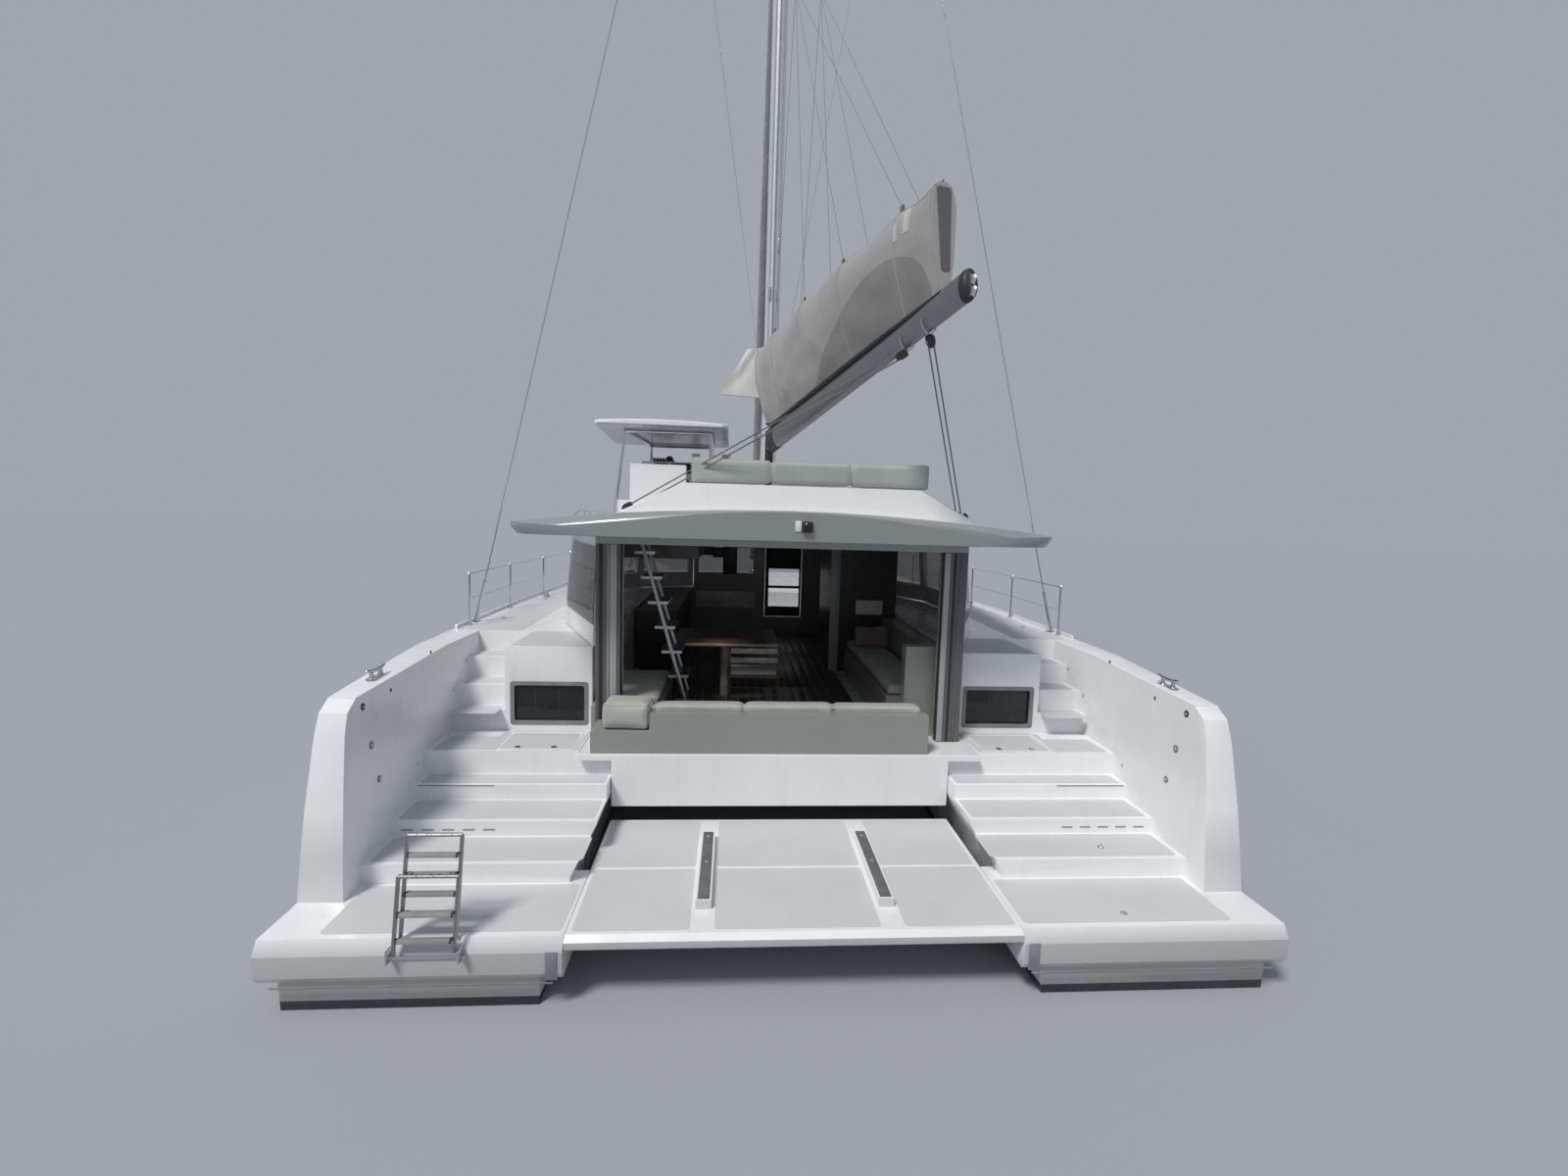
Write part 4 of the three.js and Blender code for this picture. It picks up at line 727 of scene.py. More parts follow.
KEPT_EACH_SIDE = [
    ("deckhouse", "gelcoat", 0.008, "gelcoat"),
    ("side_glass", "pane", 0.0, "tinted_glass"),
    ("rudder", "antifoul", 0.006, "antifouling"),
    ("saildrive", "black", 0.0, "engine_paint"),
    ("propeller", "bronze", 0.002, "bronze"),
    ("engine", "engine", 0.02, "engine_paint"),
    ("engine_hatch", "gelcoat", 0.006, "non_skid"),
    ("shroud", "steel", 0.0, "stainless"),
    ("guard_rail", "steel", 0.0, "stainless"),
]


def dress_kept():
    for row in KEPT:
        dress(*row)
    for name, *row in KEPT_EACH_SIDE:
        for side_name, _ in SIDES:
            dress(f"{name}_{side_name}", *row)


# Hulls: the solids with their moulded edges rounded, from a height up and from an angle up
ROUNDED_ABOVE = 0.1
ROUNDED_FROM = math.radians(30)
ROUNDED_WIDTH = 0.018
# Columns: outboard x, station, z of the foot
CLEATS = [(3.59, 1.5, 2.0), (3.59, 7.0, DECK_Z), (3.08, 12.7, DECK_Z + 0.096)]


def near_cleat(point, side):
    return any(
        abs(point.x - side * x) < 0.03 and abs(point.y + HALF_LENGTH - s) < 0.2 and point.z > z - 0.05
        for x, s, z in CLEATS
    )


def on_toe_rail(point):
    """Whether a point belongs to the low rail along the deck edge."""
    station = point.y + HALF_LENGTH
    if not 3.7 < station < 14.05:
        return False
    _, x, z = deck_edge(station)
    return abs(abs(point.x) - (x - 0.026)) < 0.0175 and point.z > z - 0.03


def hull(side_name, side):
    node = f"hull_{side_name}"
    bm = bmesh.new()
    bm.from_mesh(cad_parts[node].data)
    bmesh.ops.remove_doubles(bm, verts=bm.verts, dist=1e-5)
    bmesh.ops.dissolve_limit(bm, angle_limit=math.radians(0.4), verts=bm.verts, edges=bm.edges)
    plain_cleats = [face for face in bm.faces if all(near_cleat(v.co, side) for v in face.verts)]
    bmesh.ops.delete(bm, geom=plain_cleats, context="FACES")
    bmesh.ops.holes_fill(bm, edges=rim_of(bm))

    def wanted(edge):
        middle = (edge.verts[0].co + edge.verts[1].co) / 2
        if middle.z < ROUNDED_ABOVE or len(edge.link_faces) != 2:
            return False
        if near_cleat(middle, side) or on_toe_rail(middle):
            return False
        return edge.calc_face_angle() > ROUNDED_FROM and edge.calc_length() > 0.02

    edges = [e for e in bm.edges if wanted(e)]
    soften(bm, edges, ROUNDED_WIDTH, 3, True)
    piece = Piece(f"hull_moulding_{side_name}")
    piece.take(bm, "hull")
    piece.done([node], 34)


# Deck, platforms and topsides
# Columns: station, outboard x, sheer z
DECK_EDGE = [
    (2.65, 3.79, 2.06), (4.0, 3.81, 2.06), (6.0, 3.83, 2.06), (8.0, 3.80, 2.06), (9.5, 3.72, 2.075),
    (10.5, 3.62, 2.10), (11.5, 3.48, 2.125), (12.4, 3.31, 2.15), (13.2, 3.11, 2.175), (13.8, 2.93, 2.195),
    (14.2, 2.765, 2.21),
]
# Columns: start station, end station, tread z
FLIGHT = [(0.06, 0.76, 0.52), (0.76, 1.245, 0.68), (1.245, 1.71, 0.812), (1.71, 2.0, 0.948)]
SIDE_FLIGHT = [(2.45, 2.83, 1.392), (2.83, 3.21, 1.614), (3.21, 3.59, 1.836)]
SIDE_FLIGHT_X = 2.88
# The engine hatch's low and high x, and its stations
ENGINE_HATCH = (2.04, 2.79, 2.03, 2.58)
HATCH_RIM = 0.03


def deck_edge(station):
    for low, high in zip(DECK_EDGE, DECK_EDGE[1:]):
        if station <= high[0]:
            share = max(0, (station - low[0]) / (high[0] - low[0]))
            return [a + (b - a) * share for a, b in zip(low, high)]
    return list(DECK_EDGE[-1])


def bulwark_face(z):
    return 3.38 + 0.06 * (z - PLATFORM_Z)


def mirrored(outline, side):
    return [(side * x, y) for x, y in outline]


def tread_panels(side_name, side):
    piece = Piece(f"deck_grip_{side_name}")
    inner = 1.69
    for start, end, z in FLIGHT:
        shape = rectangle(inner, start + 0.045, bulwark_face(z) - 0.05, end - 0.03)
        piece.pad(mirrored(shape, side), at_height(z))
    x0, x1, _, s1 = ENGINE_HATCH
    strips = [
        rectangle(inner + 0.31, 2.03, x0 - 0.02, 2.62, 0.01),
        rectangle(x1 + 0.02, 2.03, 3.36, 2.43, 0.02),
        rectangle(x1 + 0.02, 2.44, 2.86, 2.62, 0.02),
        rectangle(x0, s1 + 0.015, x1, 2.635, 0.01),
    ]
    for shape in strips:
        piece.pad(mirrored(shape, side), at_height(SOLE_Z))
    for start, end, z in SIDE_FLIGHT:
        shape = rectangle(SIDE_FLIGHT_X + 0.04, start + 0.04, bulwark_face(z) - 0.05, end - 0.03)
        piece.pad(mirrored(shape, side), at_height(z))
    piece.done()


def side_deck_panels(side_name, side):
    skin = SKIN[f"hull_{side_name}"]
    piece = Piece(f"side_deck_grip_{side_name}")
    # Columns: start station, end station, inboard x at each
    runs = [(3.66, 4.9, 3.0, 3.04), (4.95, 6.3, 3.05, 3.05), (6.35, 7.75, 3.05, 2.9), (7.8, 9.2, 2.78, 2.05)]
    for s0, s1, in0, in1 in runs:
        out0, out1 = deck_edge(s0)[1] - 0.16, deck_edge(s1)[1] - 0.16
        y0, y1 = s0 - HALF_LENGTH, s1 - HALF_LENGTH
        shape = rounded([(in0, y0), (out0, y0), (out1, y1), (in1, y1)], 0.06)
        piece.pad(mirrored(shape, side), skin.height)
    for s0, s1 in ((9.26, 10.6), (10.66, 11.9), (11.95, 13.0), (13.05, 13.7)):
        stations = [s0 + (s1 - s0) * k / 5 for k in range(6)]
        shape = [(deck_edge(s)[1] - 0.16, s - HALF_LENGTH) for s in stations]
        shape += [(2 * HULL_X - deck_edge(s)[1] + 0.12, s - HALF_LENGTH) for s in stations[::-1]]
        piece.pad(mirrored(rounded(shape, 0.05, 2), side), skin.height)
    top = rectangle(2.03, 2.70, 2.84, 3.62, 0.05)
    piece.pad(mirrored(top, side), skin.height)
    piece.done()


def platform_panels():
    piece = Piece("platform_grip")
    for x0, x1 in ((-1.62, -0.79), (-0.61, 0.61), (0.79, 1.62)):
        for s0, s1 in ((0.09, 0.95), (0.99, 1.86)):
            piece.pad(rectangle(x0, s0, x1, s1), at_height(PLATFORM_Z))
    for x in (-0.7, 0.7):
        piece.box(P(x - 0.045, 0.37, 0.588), P(x + 0.045, 1.48, 0.598), "rubber", 0.004)
        for s in (0.46, 0.92, 1.38):
            piece.turned("screw_head", P(x, s, 0.597), "steel", 10)
    piece.done()


def hull_window_grid(side, skin, s0, s1, z0, z1):
    """Rows of points over a long window with rounded ends, laid on the topsides."""
    columns, rows = 22, 6
    out, round_end = 0.004, 0.16
    made = []
    for j in range(rows + 1):
        v = j / rows
        row = []
        z = z0 + (z1 - z0) * v
        pull = round_end * (1 - math.sqrt(max(0.0, 1 - (2 * v - 1) ** 2)))
        for i in range(columns + 1):
            s = s0 + pull + (s1 - s0 - 2 * pull) * i / columns
            hit, normal = skin.from_side(side, s - HALF_LENGTH, z)
            row.append(hit + normal * out)
        made.append(row)
    return made


def hull_windows(side_name, side):
    skin = SKIN[f"hull_{side_name}"]
    piece = Piece(f"hull_windows_{side_name}")
    # Columns: start station, end station, lower z, upper z
    for s0, s1, z0, z1 in ((4.35, 6.35, 1.22, 1.62), (6.6, 8.6, 1.22, 1.62), (9.2, 10.1, 1.34, 1.66)):
        rows = hull_window_grid(side, skin, s0, s1, z0, z1)
        bm = bmesh.new()
        quads(bm, [[bm.verts.new(p) for p in row] for row in rows])
        thicken(bm, (-side * 0.012, 0, 0))
        piece.take(bm, "screen")
        ends = [row[-1] for row in rows[1:]], [row[0] for row in rows[-2:0:-1]]
        piece.tube(rows[0] + ends[0] + rows[-1][-2::-1] + ends[1], 0.007, "black", 6, closed=True)
    piece.done()


def cleat_fitting(piece, x, station, z):
    """A horn cleat on its base plate, lying fore and aft."""
    place = Matrix.Translation(P(x, station, z))
    piece.slab(centred(0.035, 0.13, 0.03), -0.004, 0.008, "steel", 0.003, place)
    for end in (-1, 1):
        foot = P(x, station + end * 0.075, z)
        piece.tube([foot, foot + V(0, 0, 0.03), foot + V(0, end * 0.004, 0.056)],
                   [0.026, 0.018, 0.017], "steel", 12)
    # Columns: distance along, height, radius
    horn = [(-0.158, 0.086, 0.004), (-0.152, 0.084, 0.009), (-0.11, 0.075, 0.0145), (-0.05, 0.065, 0.018),
            (0.05, 0.065, 0.018), (0.11, 0.075, 0.0145), (0.152, 0.084, 0.009), (0.158, 0.086, 0.004)]
    rows = spline(horn, 3)
    piece.tube([P(x, station + a, z + h) for a, h, r in rows], [float(r) for a, h, r in rows], "steel", 12)


STANCHIONS = (4.0, 5.6, 7.3, 9.0, 10.6, 12.0, 13.0)


def deck_fittings(side_name, side):
    piece = Piece(f"deck_fittings_{side_name}")
    for x, s, z in CLEATS:
        cleat_fitting(piece, side * x, s, z)
    for s in STANCHIONS:
        _, x, z = deck_edge(s)
        place = P(side * (x - 0.09), s, z)
        piece.turned("stanchion_foot", place, "steel", 14)
        piece.turned("stanchion_cap", place + V(0, 0, 0.634), "steel", 10)
    for a, b in zip(STANCHIONS, STANCHIONS[1:]):
        ends = [P(side * (deck_edge(s)[1] - 0.09), s, deck_edge(s)[2] + 0.33) for s in (a, b)]
        piece.tube([between(*ends, k / 6) - V(0, 0, 0.006 * math.sin(math.pi * k / 6)) for k in range(7)],
                   0.0035, "steel", 6)
    chain = P(side * 3.75, 4.27, DECK_Z)
    piece.slab(centred(0.045, 0.075, 0.02), -0.004, 0.008, "steel", 0.003, Matrix.Translation(chain))
    piece.box(chain + V(-0.008, -0.035, 0), chain + V(0.008, 0.035, 0.075), "steel", 0.004)
    # Fillers and vents: columns station, distance inboard of the deck edge, radius
    for s, inset, radius in ((4.6, 0.3, 0.032), (6.7, 0.3, 0.032), (8.4, 0.3, 0.032), (11.0, 0.4, 0.05)):
        _, x, z = deck_edge(s)
        cap = [(0, 0), (radius, 0), (radius, 0.005), (radius * 0.8, 0.008), (radius * 0.3, 0.007), (0, 0.004)]
        piece.turned(cap, P(side * (x - inset), s, z + 0.004), "steel", 18)
    piece.done()


def hatch(piece, seat, half, long, frame_top, pane_top):
    """An acrylic pane in an alloy frame."""
    piece.slab(centred(half, long, 0.07, 5), -0.01, frame_top, "alloy", 0.008, seat)
    pane = centred(half - HATCH_RIM, long - HATCH_RIM, 0.05, 5)
    piece.slab(pane, 0.0, pane_top, "acrylic", 0.005, seat)


def deck_hatches(side_name, side):
    """Flush acrylic hatches in alloy frames on the forward decks."""
    piece = Piece(f"deck_hatches_{side_name}")
    skin = SKIN[f"hull_{side_name}"]
    # Columns: x, station, half width, half length
    for x, s, half, long in ((2.72, 10.0, 0.24, 0.24), (2.72, 11.45, 0.27, 0.27), (2.70, 12.6, 0.16, 0.2)):
        seat = skin.seat(side * x, s)
        hatch(piece, seat, half, long, 0.022, 0.028)
        for u in (-0.5, 0.5):
            hinge = (u * half - 0.02, -long - 0.012, 0.0), (u * half + 0.02, -long + 0.03, 0.03)
            piece.box(*hinge, "alloy", 0.004, seat)
            piece.turned("hatch_knob", seat @ V(u * half, long - 0.07, 0.026), "black", 12)
    piece.done()


# Columns: station, z, radius, finish
BULWARK_MARKS = [
    (1.16, 1.22, 0.030, "trim"), (1.09, 1.53, 0.034, "trim"), (1.02, 1.87, 0.030, "black"),
    (1.84, 1.10, 0.018, "steel"), (1.48, 1.89, 0.016, "black"), (2.31, 2.06, 0.014, "black"),
    (2.75, 1.58, 0.024, "steel"), (3.15, 1.80, 0.024, "steel"),
]


def bulwark_details(side_name, side):
    """Lights, sockets and outlets inside the bulwark, the step edges' marks, a lug and a drain."""
    piece = Piece(f"bulwark_fittings_{side_name}")
    inward = V(-side, 0, 0.06).normalized()
    for s, z, radius, finish in BULWARK_MARKS:
        place = P(side * bulwark_face(z), s, z)
        profile = [(0, -0.004), (radius, -0.004), (radius, 0.003), (radius * 0.8, 0.006), (0, 0.005)]
        piece.turned(profile, place, finish, 18, inward)
        lens = [(0, 0), (radius * 0.35, 0), (radius * 0.3, 0.004), (0, 0.004)]
        piece.turned(lens, place + inward * 0.004, "lens", 12, inward)
    for k in range(5):
        x = 2.52 + 0.17 * k
        low, high = P(side * x, 1.241, 0.732), P(side * (x + 0.1), 1.248, 0.742)
        piece.box(low, high, "trim", 0.001)
    piece.box(P(side * 2.68, 1.706, 0.938), P(side * 3.36, 1.713, 0.946), "trim", 0.001)
    if side > 0:
        piece.turned("pad_lug", P(2.74, 0.96, 0.68), "steel", 18)
        piece.turned("drain", P(2.53, 0.22, PLATFORM_Z), "steel", 20)
    piece.done()


def platform_shadow_lines(side_name, side):
    """Painted shadow: a grey line along the joint across the transom, and a grey strip for the shade in the
    corner beside the platform.
    """
    piece = Piece(f"platform_shadow_lines_{side_name}")
    # Painted shadow lines in grey trim
    piece.box(P(side * 1.72, -0.004, 0.196), P(side * 3.6, 0.004, 0.208), "trim", 0.002)
    piece.box(P(side * 1.69, -0.005, 0.225), P(side * 1.775, 0.004, 0.43), "trim", 0.003)
    piece.done()


def aft_windows(side_name, side):
    """The dark fixed window in the block beside the cockpit, in its rubber and trim."""
    piece = Piece(f"aft_window_{side_name}")
    x0, x1, z0, z1 = 2.05, 2.795, 1.26, 1.665
    face = 2.652
    outer = oblong(x0 - 0.03, z0 - 0.03, x1 + 0.03, z1 + 0.03, 0.035)
    inner = oblong(x0 + 0.012, z0 + 0.012, x1 - 0.012, z1 - 0.012, 0.03)
    turn = Matrix.Translation(P(0, 0, 0)) @ UPRIGHT
    piece.slab(mirrored(inner, side), -2.684, -2.672, "screen", 0.002, turn)
    bm = bmesh.new()
    rims = [[bm.verts.new(P(side * x, face - out, z)) for x, z in shape]
            for shape, out in ((outer, -0.002), (outer, 0.006), (inner, 0.006), (inner, -0.03))]
    quads(bm, rims, ring=True)
    bmesh.ops.recalc_face_normals(bm, faces=bm.faces)
    piece.take(bm, "trim")
    for x in (side * (x0 + 0.28), side * (x0 + 0.52)):
        piece.box(P(x - 0.006, 2.671, z0 + 0.03), P(x + 0.006, 2.676, z1 - 0.03), "black", 0.002)
    piece.done()


def engine_hatch_details(side_name, side):
    body = f"engine_hatch_{side_name}"
    piece = Piece(f"engine_hatch_fittings_{side_name}", body)
    x0, x1, s0, s1 = ENGINE_HATCH
    outline = rectangle(x0 + 0.035, s0 + 0.035, x1 - 0.035, s1 - 0.035)
    piece.pad(mirrored(outline, side), at_height(SOLE_Z))
    for x in (x0 + 0.2, x1 - 0.2):
        piece.turned("lift_ring", P(side * x, s0 + 0.075, SOLE_Z + 0.002), "steel", 18)
    piece.done()


# Foredeck and ground tackle
def corner_decks():
    """The deck between the hulls and the house's front corners, and the sills beside the doorway."""
    piece = Piece("corner_decks")
    low, high = DECK_Z - 0.015, FOREDECK_Z
    for side in (1, -1):
        plan = [(1.43, 9.12), (1.985, 8.877), (1.985, 9.264), (1.43, 9.264)]
        outline = [(side * x, station - HALF_LENGTH) for x, station in plan]
        piece.slab(outline, low, high, "gelcoat", 0.004)
    for x0, x1 in ((-1.43, 0.096), (0.884, 1.43)):
        piece.box(P(x0, 9.201, low), P(x1, 9.264, high), "gelcoat", 0.004)
    piece.done()


def foredeck_details():
    piece = Piece("foredeck_fittings")
    # Windlass, over the plain one moulded into the deck
    base = P(0, 13.02, FOREDECK_Z)
    piece.slab(centred(0.096, 0.136, 0.03), 0, 0.036, "steel", 0.006, Matrix.Translation(base))
    piece.turned("windlass", base + V(0, -0.03, 0.03), "steel", 24)
    piece.done()


def locker_lid_details():
    piece = Piece("locker_lid_grip", "anchor_locker_lid")
    piece.pad(rectangle(-0.375, 12.1, 0.375, 12.8, 0.05), at_height(FOREDECK_Z))
    for x in (-0.2, 0.2):
        piece.turned("lid_ring", P(x, 12.135, FOREDECK_Z + 0.002), "steel", 16)
    piece.done()


# Roof
def roof_height(x, y):
    return SKIN["hardtop"].height(x, y)


# Columns: x, station, x, station, corner radius
ROOF_PADS = (
    (1.75, 6.2, 2.75, 7.3, 0.1), (0.45, 7.0, 1.6, 8.5, 0.1), (-1.6, 7.0, -0.45, 8.5, 0.1),
    (-2.75, 6.2, -1.95, 7.3, 0.1), (-2.5, 3.6, -2.05, 5.9, 0.08), (-0.85, 4.1, 1.3, 5.4, 0.1),
)


def roof_panels():
    piece = Piece("roof_grip")
    for area in ROOF_PADS:
        piece.pad(rectangle(*area), roof_height, 0.2)
    piece.done()


def grab_rail(piece, side):
    """A rail along the roof's edge, on three feet."""
    rise = 0.07
    points = []
    for k in range(9):
        s = 4.3 + 0.35 * k
        x = side * (2.62 if s > 5 else 2.55)
        up = rise if 0 < k < 8 else 0.0
        points.append(P(x, s, roof_height(x, s - HALF_LENGTH) + up))
    piece.tube(points, 0.013, "steel", 10)
    for k in (2, 4, 6):
        foot = points[k] - V(0, 0, rise)
        piece.tube([foot, points[k]], 0.011, "steel", 10)
        piece.turned("rail_foot", foot, "steel", 14)


def roof_fittings():
    piece = Piece("roof_fittings")
    # Hatches: columns x, station, half width, half length
    for x, s, half, long in ((1.2, 6.55, 0.25, 0.25), (-1.25, 6.55, 0.25, 0.25), (0.0, 8.2, 0.3, 0.24)):
        seat = SKIN["hardtop"].seat(x, s)
        hatch(piece, seat, half, long, 0.024, 0.03)
    for side in (1, -1):
        grab_rail(piece, side)
    # Lashed bundles on their feet, at the starboard after corner
    corner = P(2.05, 3.0, roof_height(2.05, 3.0 - HALF_LENGTH))
    for k, (dx, dy) in enumerate(((0, 0), (-0.24, 0.05), (0.1, 0.42))):
        place = corner + V(dx, dy, 0)
        place.z = roof_height(place.x, place.y)
        piece.turned("block_foot", place, "steel", 16)
        bundle = [place + V(0, 0, 0.04 + 0.02 * i) for i in range(6)]
        piece.tube(bundle, [0.01, 0.035, 0.042, 0.042, 0.03, 0.01], "black", 14)
    piece.done()


def stern_light():
    """The white stern light at the middle of the roof's after edge, over its moulded housing."""
    piece = Piece("stern_light")
    piece.box(P(0.091, 1.662, 3.346), P(0.189, 1.73, 3.446), "black", 0.01)
    piece.turned("stern_lens", P(0.14, 1.663, 3.4), "screen", 18, (0, -1, 0))
    piece.box(P(0.03, 1.69, 3.352), P(0.088, 1.73, 3.45), "white_plastic", 0.006)
    piece.done()


def roof_underside():
    """Liner and lights under the hardtop's overhang."""
    piece = Piece("roof_liner")
    piece.slab(rectangle(-1.9, 1.98, 1.9, 2.28, 0.05), 3.248, 3.2595, "grey")
    for x in (-1.2, 0, 1.2):
        piece.turned("liner_light", P(x, 2.12, 3.248), "lens", 16, (0, 0, -1))
    piece.done()


# Flybridge and helm
def helm_details():
    piece = Piece("helm_instruments")
    # The console's sloping panel: its middle, how deep it runs and how high it rises
    middle, deep, rise = P(-1.165, 5.5125, 4.135), 0.045, 0.19
    turn = Matrix.Translation(middle) @ Matrix.Rotation(math.atan2(rise, deep), 4, "X")
    for u, width in ((-0.42, 0.2), (-0.14, 0.28), (0.2, 0.28), (0.48, 0.15)):
        left, right = u - width / 2, u + width / 2
        piece.slab(oblong(left, -0.075, right, 0.075, 0.015), -0.01, 0.012, "black", 0.004, turn)
        piece.slab(oblong(left + 0.014, -0.06, right - 0.014, 0.06, 0.008), 0.0, 0.014, "screen", 0.001, turn)
    # Engine levers
    base = P(-0.62, 5.46, 4.0)
    piece.box(base + V(-0.06, -0.03, -0.09), base + V(0.06, 0.04, 0.09), "black", 0.015)
    for u in (-0.035, 0.035):
        foot = base + V(u, -0.03, 0.03)
        piece.tube([foot, foot + V(0, -0.07, 0.03), foot + V(0, -0.1, 0.1)], 0.007, "steel", 8)
        piece.turned("lever_knob", foot + V(0, -0.1, 0.095), "black", 12)
    # Compass
    place = P(-1.475, 5.62, 4.226)
    piece.turned("compass_base", place, "black", 22)
    piece.turned("compass_dome", place + V(0, 0, 0.03), "screen", 22)
    # Winches and clutches on the console's inboard end
    for x, s in ((-0.66, 5.66), (-1.1, 5.7)):
        piece.turned("winch", P(x, s, 4.229), "steel", 28)
    for k in range(5):
        x = -1.72 + 0.045 * k
        piece.box(P(x, 5.66, 4.226), P(x + 0.034, 5.8, 4.285), "black", 0.01)
        piece.box(P(x + 0.006, 5.645, 4.28), P(x + 0.028, 5.76, 4.297), "white_plastic", 0.005)
    piece.done()


def wheel_hub():
    """The steering wheel's hub and the grip round its rim."""
    hub = Piece("wheel_hub", "steering_wheel")
    centre = P(-1.475, 5.40, 3.72)
    hub.turned("wheel_hub", centre, "black", 22, (0, -1, 0))
    rim = [centre + V(0.36 * math.cos(a), 0, 0.36 * math.sin(a)) for a in angles(64)]
    hub.tube(rim, 0.0185, "rubber", 10, closed=True)
    hub.done()


# Rig
# Columns: height, reach out from the mast
SPREADERS = ((11.8, 1.15), (16.2, 0.95))
MAST_HALF = (0.1, 0.16)


def spreader_fittings(piece, side):
    """The spreaders' roots and boots, and the diamond stay over their tips."""
    for z, length in SPREADERS:
        root = P(side * 0.09, MAST_STATION - 0.03, z + 0.004)
        tip = P(side * length, MAST_STATION - length * 0.32, z + 0.06)
        piece.tube([root, between(root, tip, 0.14)], [0.06, 0.045], "alloy", 12)
        boot = tip + (tip - root).normalized() * 0.008
        piece.tube([between(root, tip, 0.97), boot], [0.042, 0.03], "black", 12)
    low = P(side * 0.1, MAST_STATION, 5.3)
    tips = [P(side * (reach - 0.02), MAST_STATION - reach * 0.315, z + 0.06) for z, reach in SPREADERS]
    stay = [low, *tips, P(side * 0.11, MAST_STATION, 20.2)]
    for a, b in zip(stay, stay[1:]):
        piece.tube([a, b], 0.005, "steel", 6)
    piece.tube([low, between(low, tips[0], 0.05)], 0.011, "steel", 8)


def mast_details():
    piece = Piece("mast_fittings")
    aft, track_foot, track_head = MAST_STATION - MAST_HALF[1], 5.0, 21.6
    # Luff track up the mast's after face
    piece.box(P(-0.016, aft - 0.012, track_foot), P(0.016, aft + 0.02, track_head), "alloy", 0.004)
    piece.box(P(-0.006, aft - 0.02, track_foot), P(0.006, aft - 0.008, track_head), "dull_steel", 0.002)
    for side in (1, -1):
        spreader_fittings(piece, side)
    for x, z in ((0.06, 6.9), (-0.06, 6.9), (0.07, 7.6)):
        piece.box(P(x - 0.02, aft - 0.02, z - 0.09), P(x + 0.02, aft + 0.05, z + 0.09), "steel", 0.008)
    # Halyards, from the sheaves down the mast's sides
    for x, s, z0, z1 in ((0.075, -0.155, 4.9, 21.8), (-0.07, -0.155, 5.6, 21.8), (0.03, 0.175, 4.2, 20.6)):
        piece.tube([P(x, MAST_STATION + s, z0), P(x * 0.7, MAST_STATION + s, z1)], 0.005, "rope", 6)
    for side, s in ((1, 0.02), (-1, -0.02)):
        place = P(side * 0.105, MAST_STATION + s, 4.75)
        piece.turned("mast_winch", place, "steel", 20, (side, 0, 0))
    # Masthead sheaves
    for s in (-0.36, 0.2):
        piece.turned("masthead_sheave", P(0, MAST_STATION + s, 21.93), "black", 16, (1, 0, 0))
    # Deck light and steaming light
    piece.turned("deck_light", P(0, MAST_STATION + 0.15, 11.2), "lens", 18, (0, 0.5, -1))
    # Painted shade: a black band round the mast below the boom, where the boom and gooseneck shade it; and
    # the mast collar on the roof
    rings = []
    for z, out in ((3.95, -0.01), (3.96, 0.006), (4.82, 0.006), (4.83, -0.01)):
        rings.append(round_mast(*(half + out for half in MAST_HALF), z))
    piece.loft(rings, "black")
    collar = round_mast(0.165, 0.215, 3.56)
    piece.tube(collar, 0.035, "rubber", 10, closed=True)
    piece.done()


def round_mast(half, long, z):
    """A level oval of points round the mast."""
    return [P(half * math.cos(a), MAST_STATION + long * math.sin(a), z) for a in angles(32)]


# The boom's section at its fore end, its taper, and the place and turns of its axis
SPAR_HALF = (0.105, 0.195)
SPAR_TAPER = 0.34
SPAR_START = 0.15
BOOM_TURNS = Matrix.Rotation(BOOM_SWING, 4, "Z") @ Matrix.Rotation(-BOOM_RISE, 4, "X")
BOOM_FRAME = Matrix.Translation(P(*GOOSENECK)) @ BOOM_TURNS


def on_boom(along, x=0.0, z=0.0):
    """A point by its distance out along the boom, sideways and above its axis."""
    return BOOM_FRAME @ V(x, -along, z)


def spar_half(along):
    share = (along - SPAR_START) / (BOOM_LENGTH - SPAR_START)
    return [half * (1 - SPAR_TAPER * share) for half in SPAR_HALF]


def casting(piece, rows):
    """A black casting round the boom: rows of distance along it and share of its fore end's section."""
    half, height = SPAR_HALF
    rings = [[V(half * share * math.cos(a), -along, height * share * math.sin(a)) for a in angles(24)]
             for along, share in rows]
    piece.loft(rings, "black", turn=BOOM_FRAME)


def boom_details():
    piece = Piece("boom_fittings", "boom")
    outer = 1 - SPAR_TAPER
    # Cast end with its sheaves
    ends = ((5.42, 1.02), (5.455, 1.04), (5.49, 0.96), (5.505, 0.7))
    casting(piece, [(along, outer * share) for along, share in ends])
    for z in (-0.06, 0.03):
        piece.turned("boom_sheave", on_boom(5.49, 0, z), "alloy", 18, BOOM_FRAME.to_3x3() @ V(1, 0, 0))
    # Gooseneck casting
    casting(piece, ((0.14, 0.7), (0.15, 1.03), (0.46, 1.01)))
    # Bails for the sheet blocks
    for along in sorted(SHEET_BLOCKS.values()):
        half, height = spar_half(along)
        bends = [math.pi * k / 8 for k in range(9)]
        hoop = [((half + 0.004) * math.cos(a), -height * (0.25 + 0.9 * math.sin(a))) for a in bends]
        piece.tube([on_boom(along, x, z) for x, z in hoop], 0.006, "steel", 8)
    piece.done()


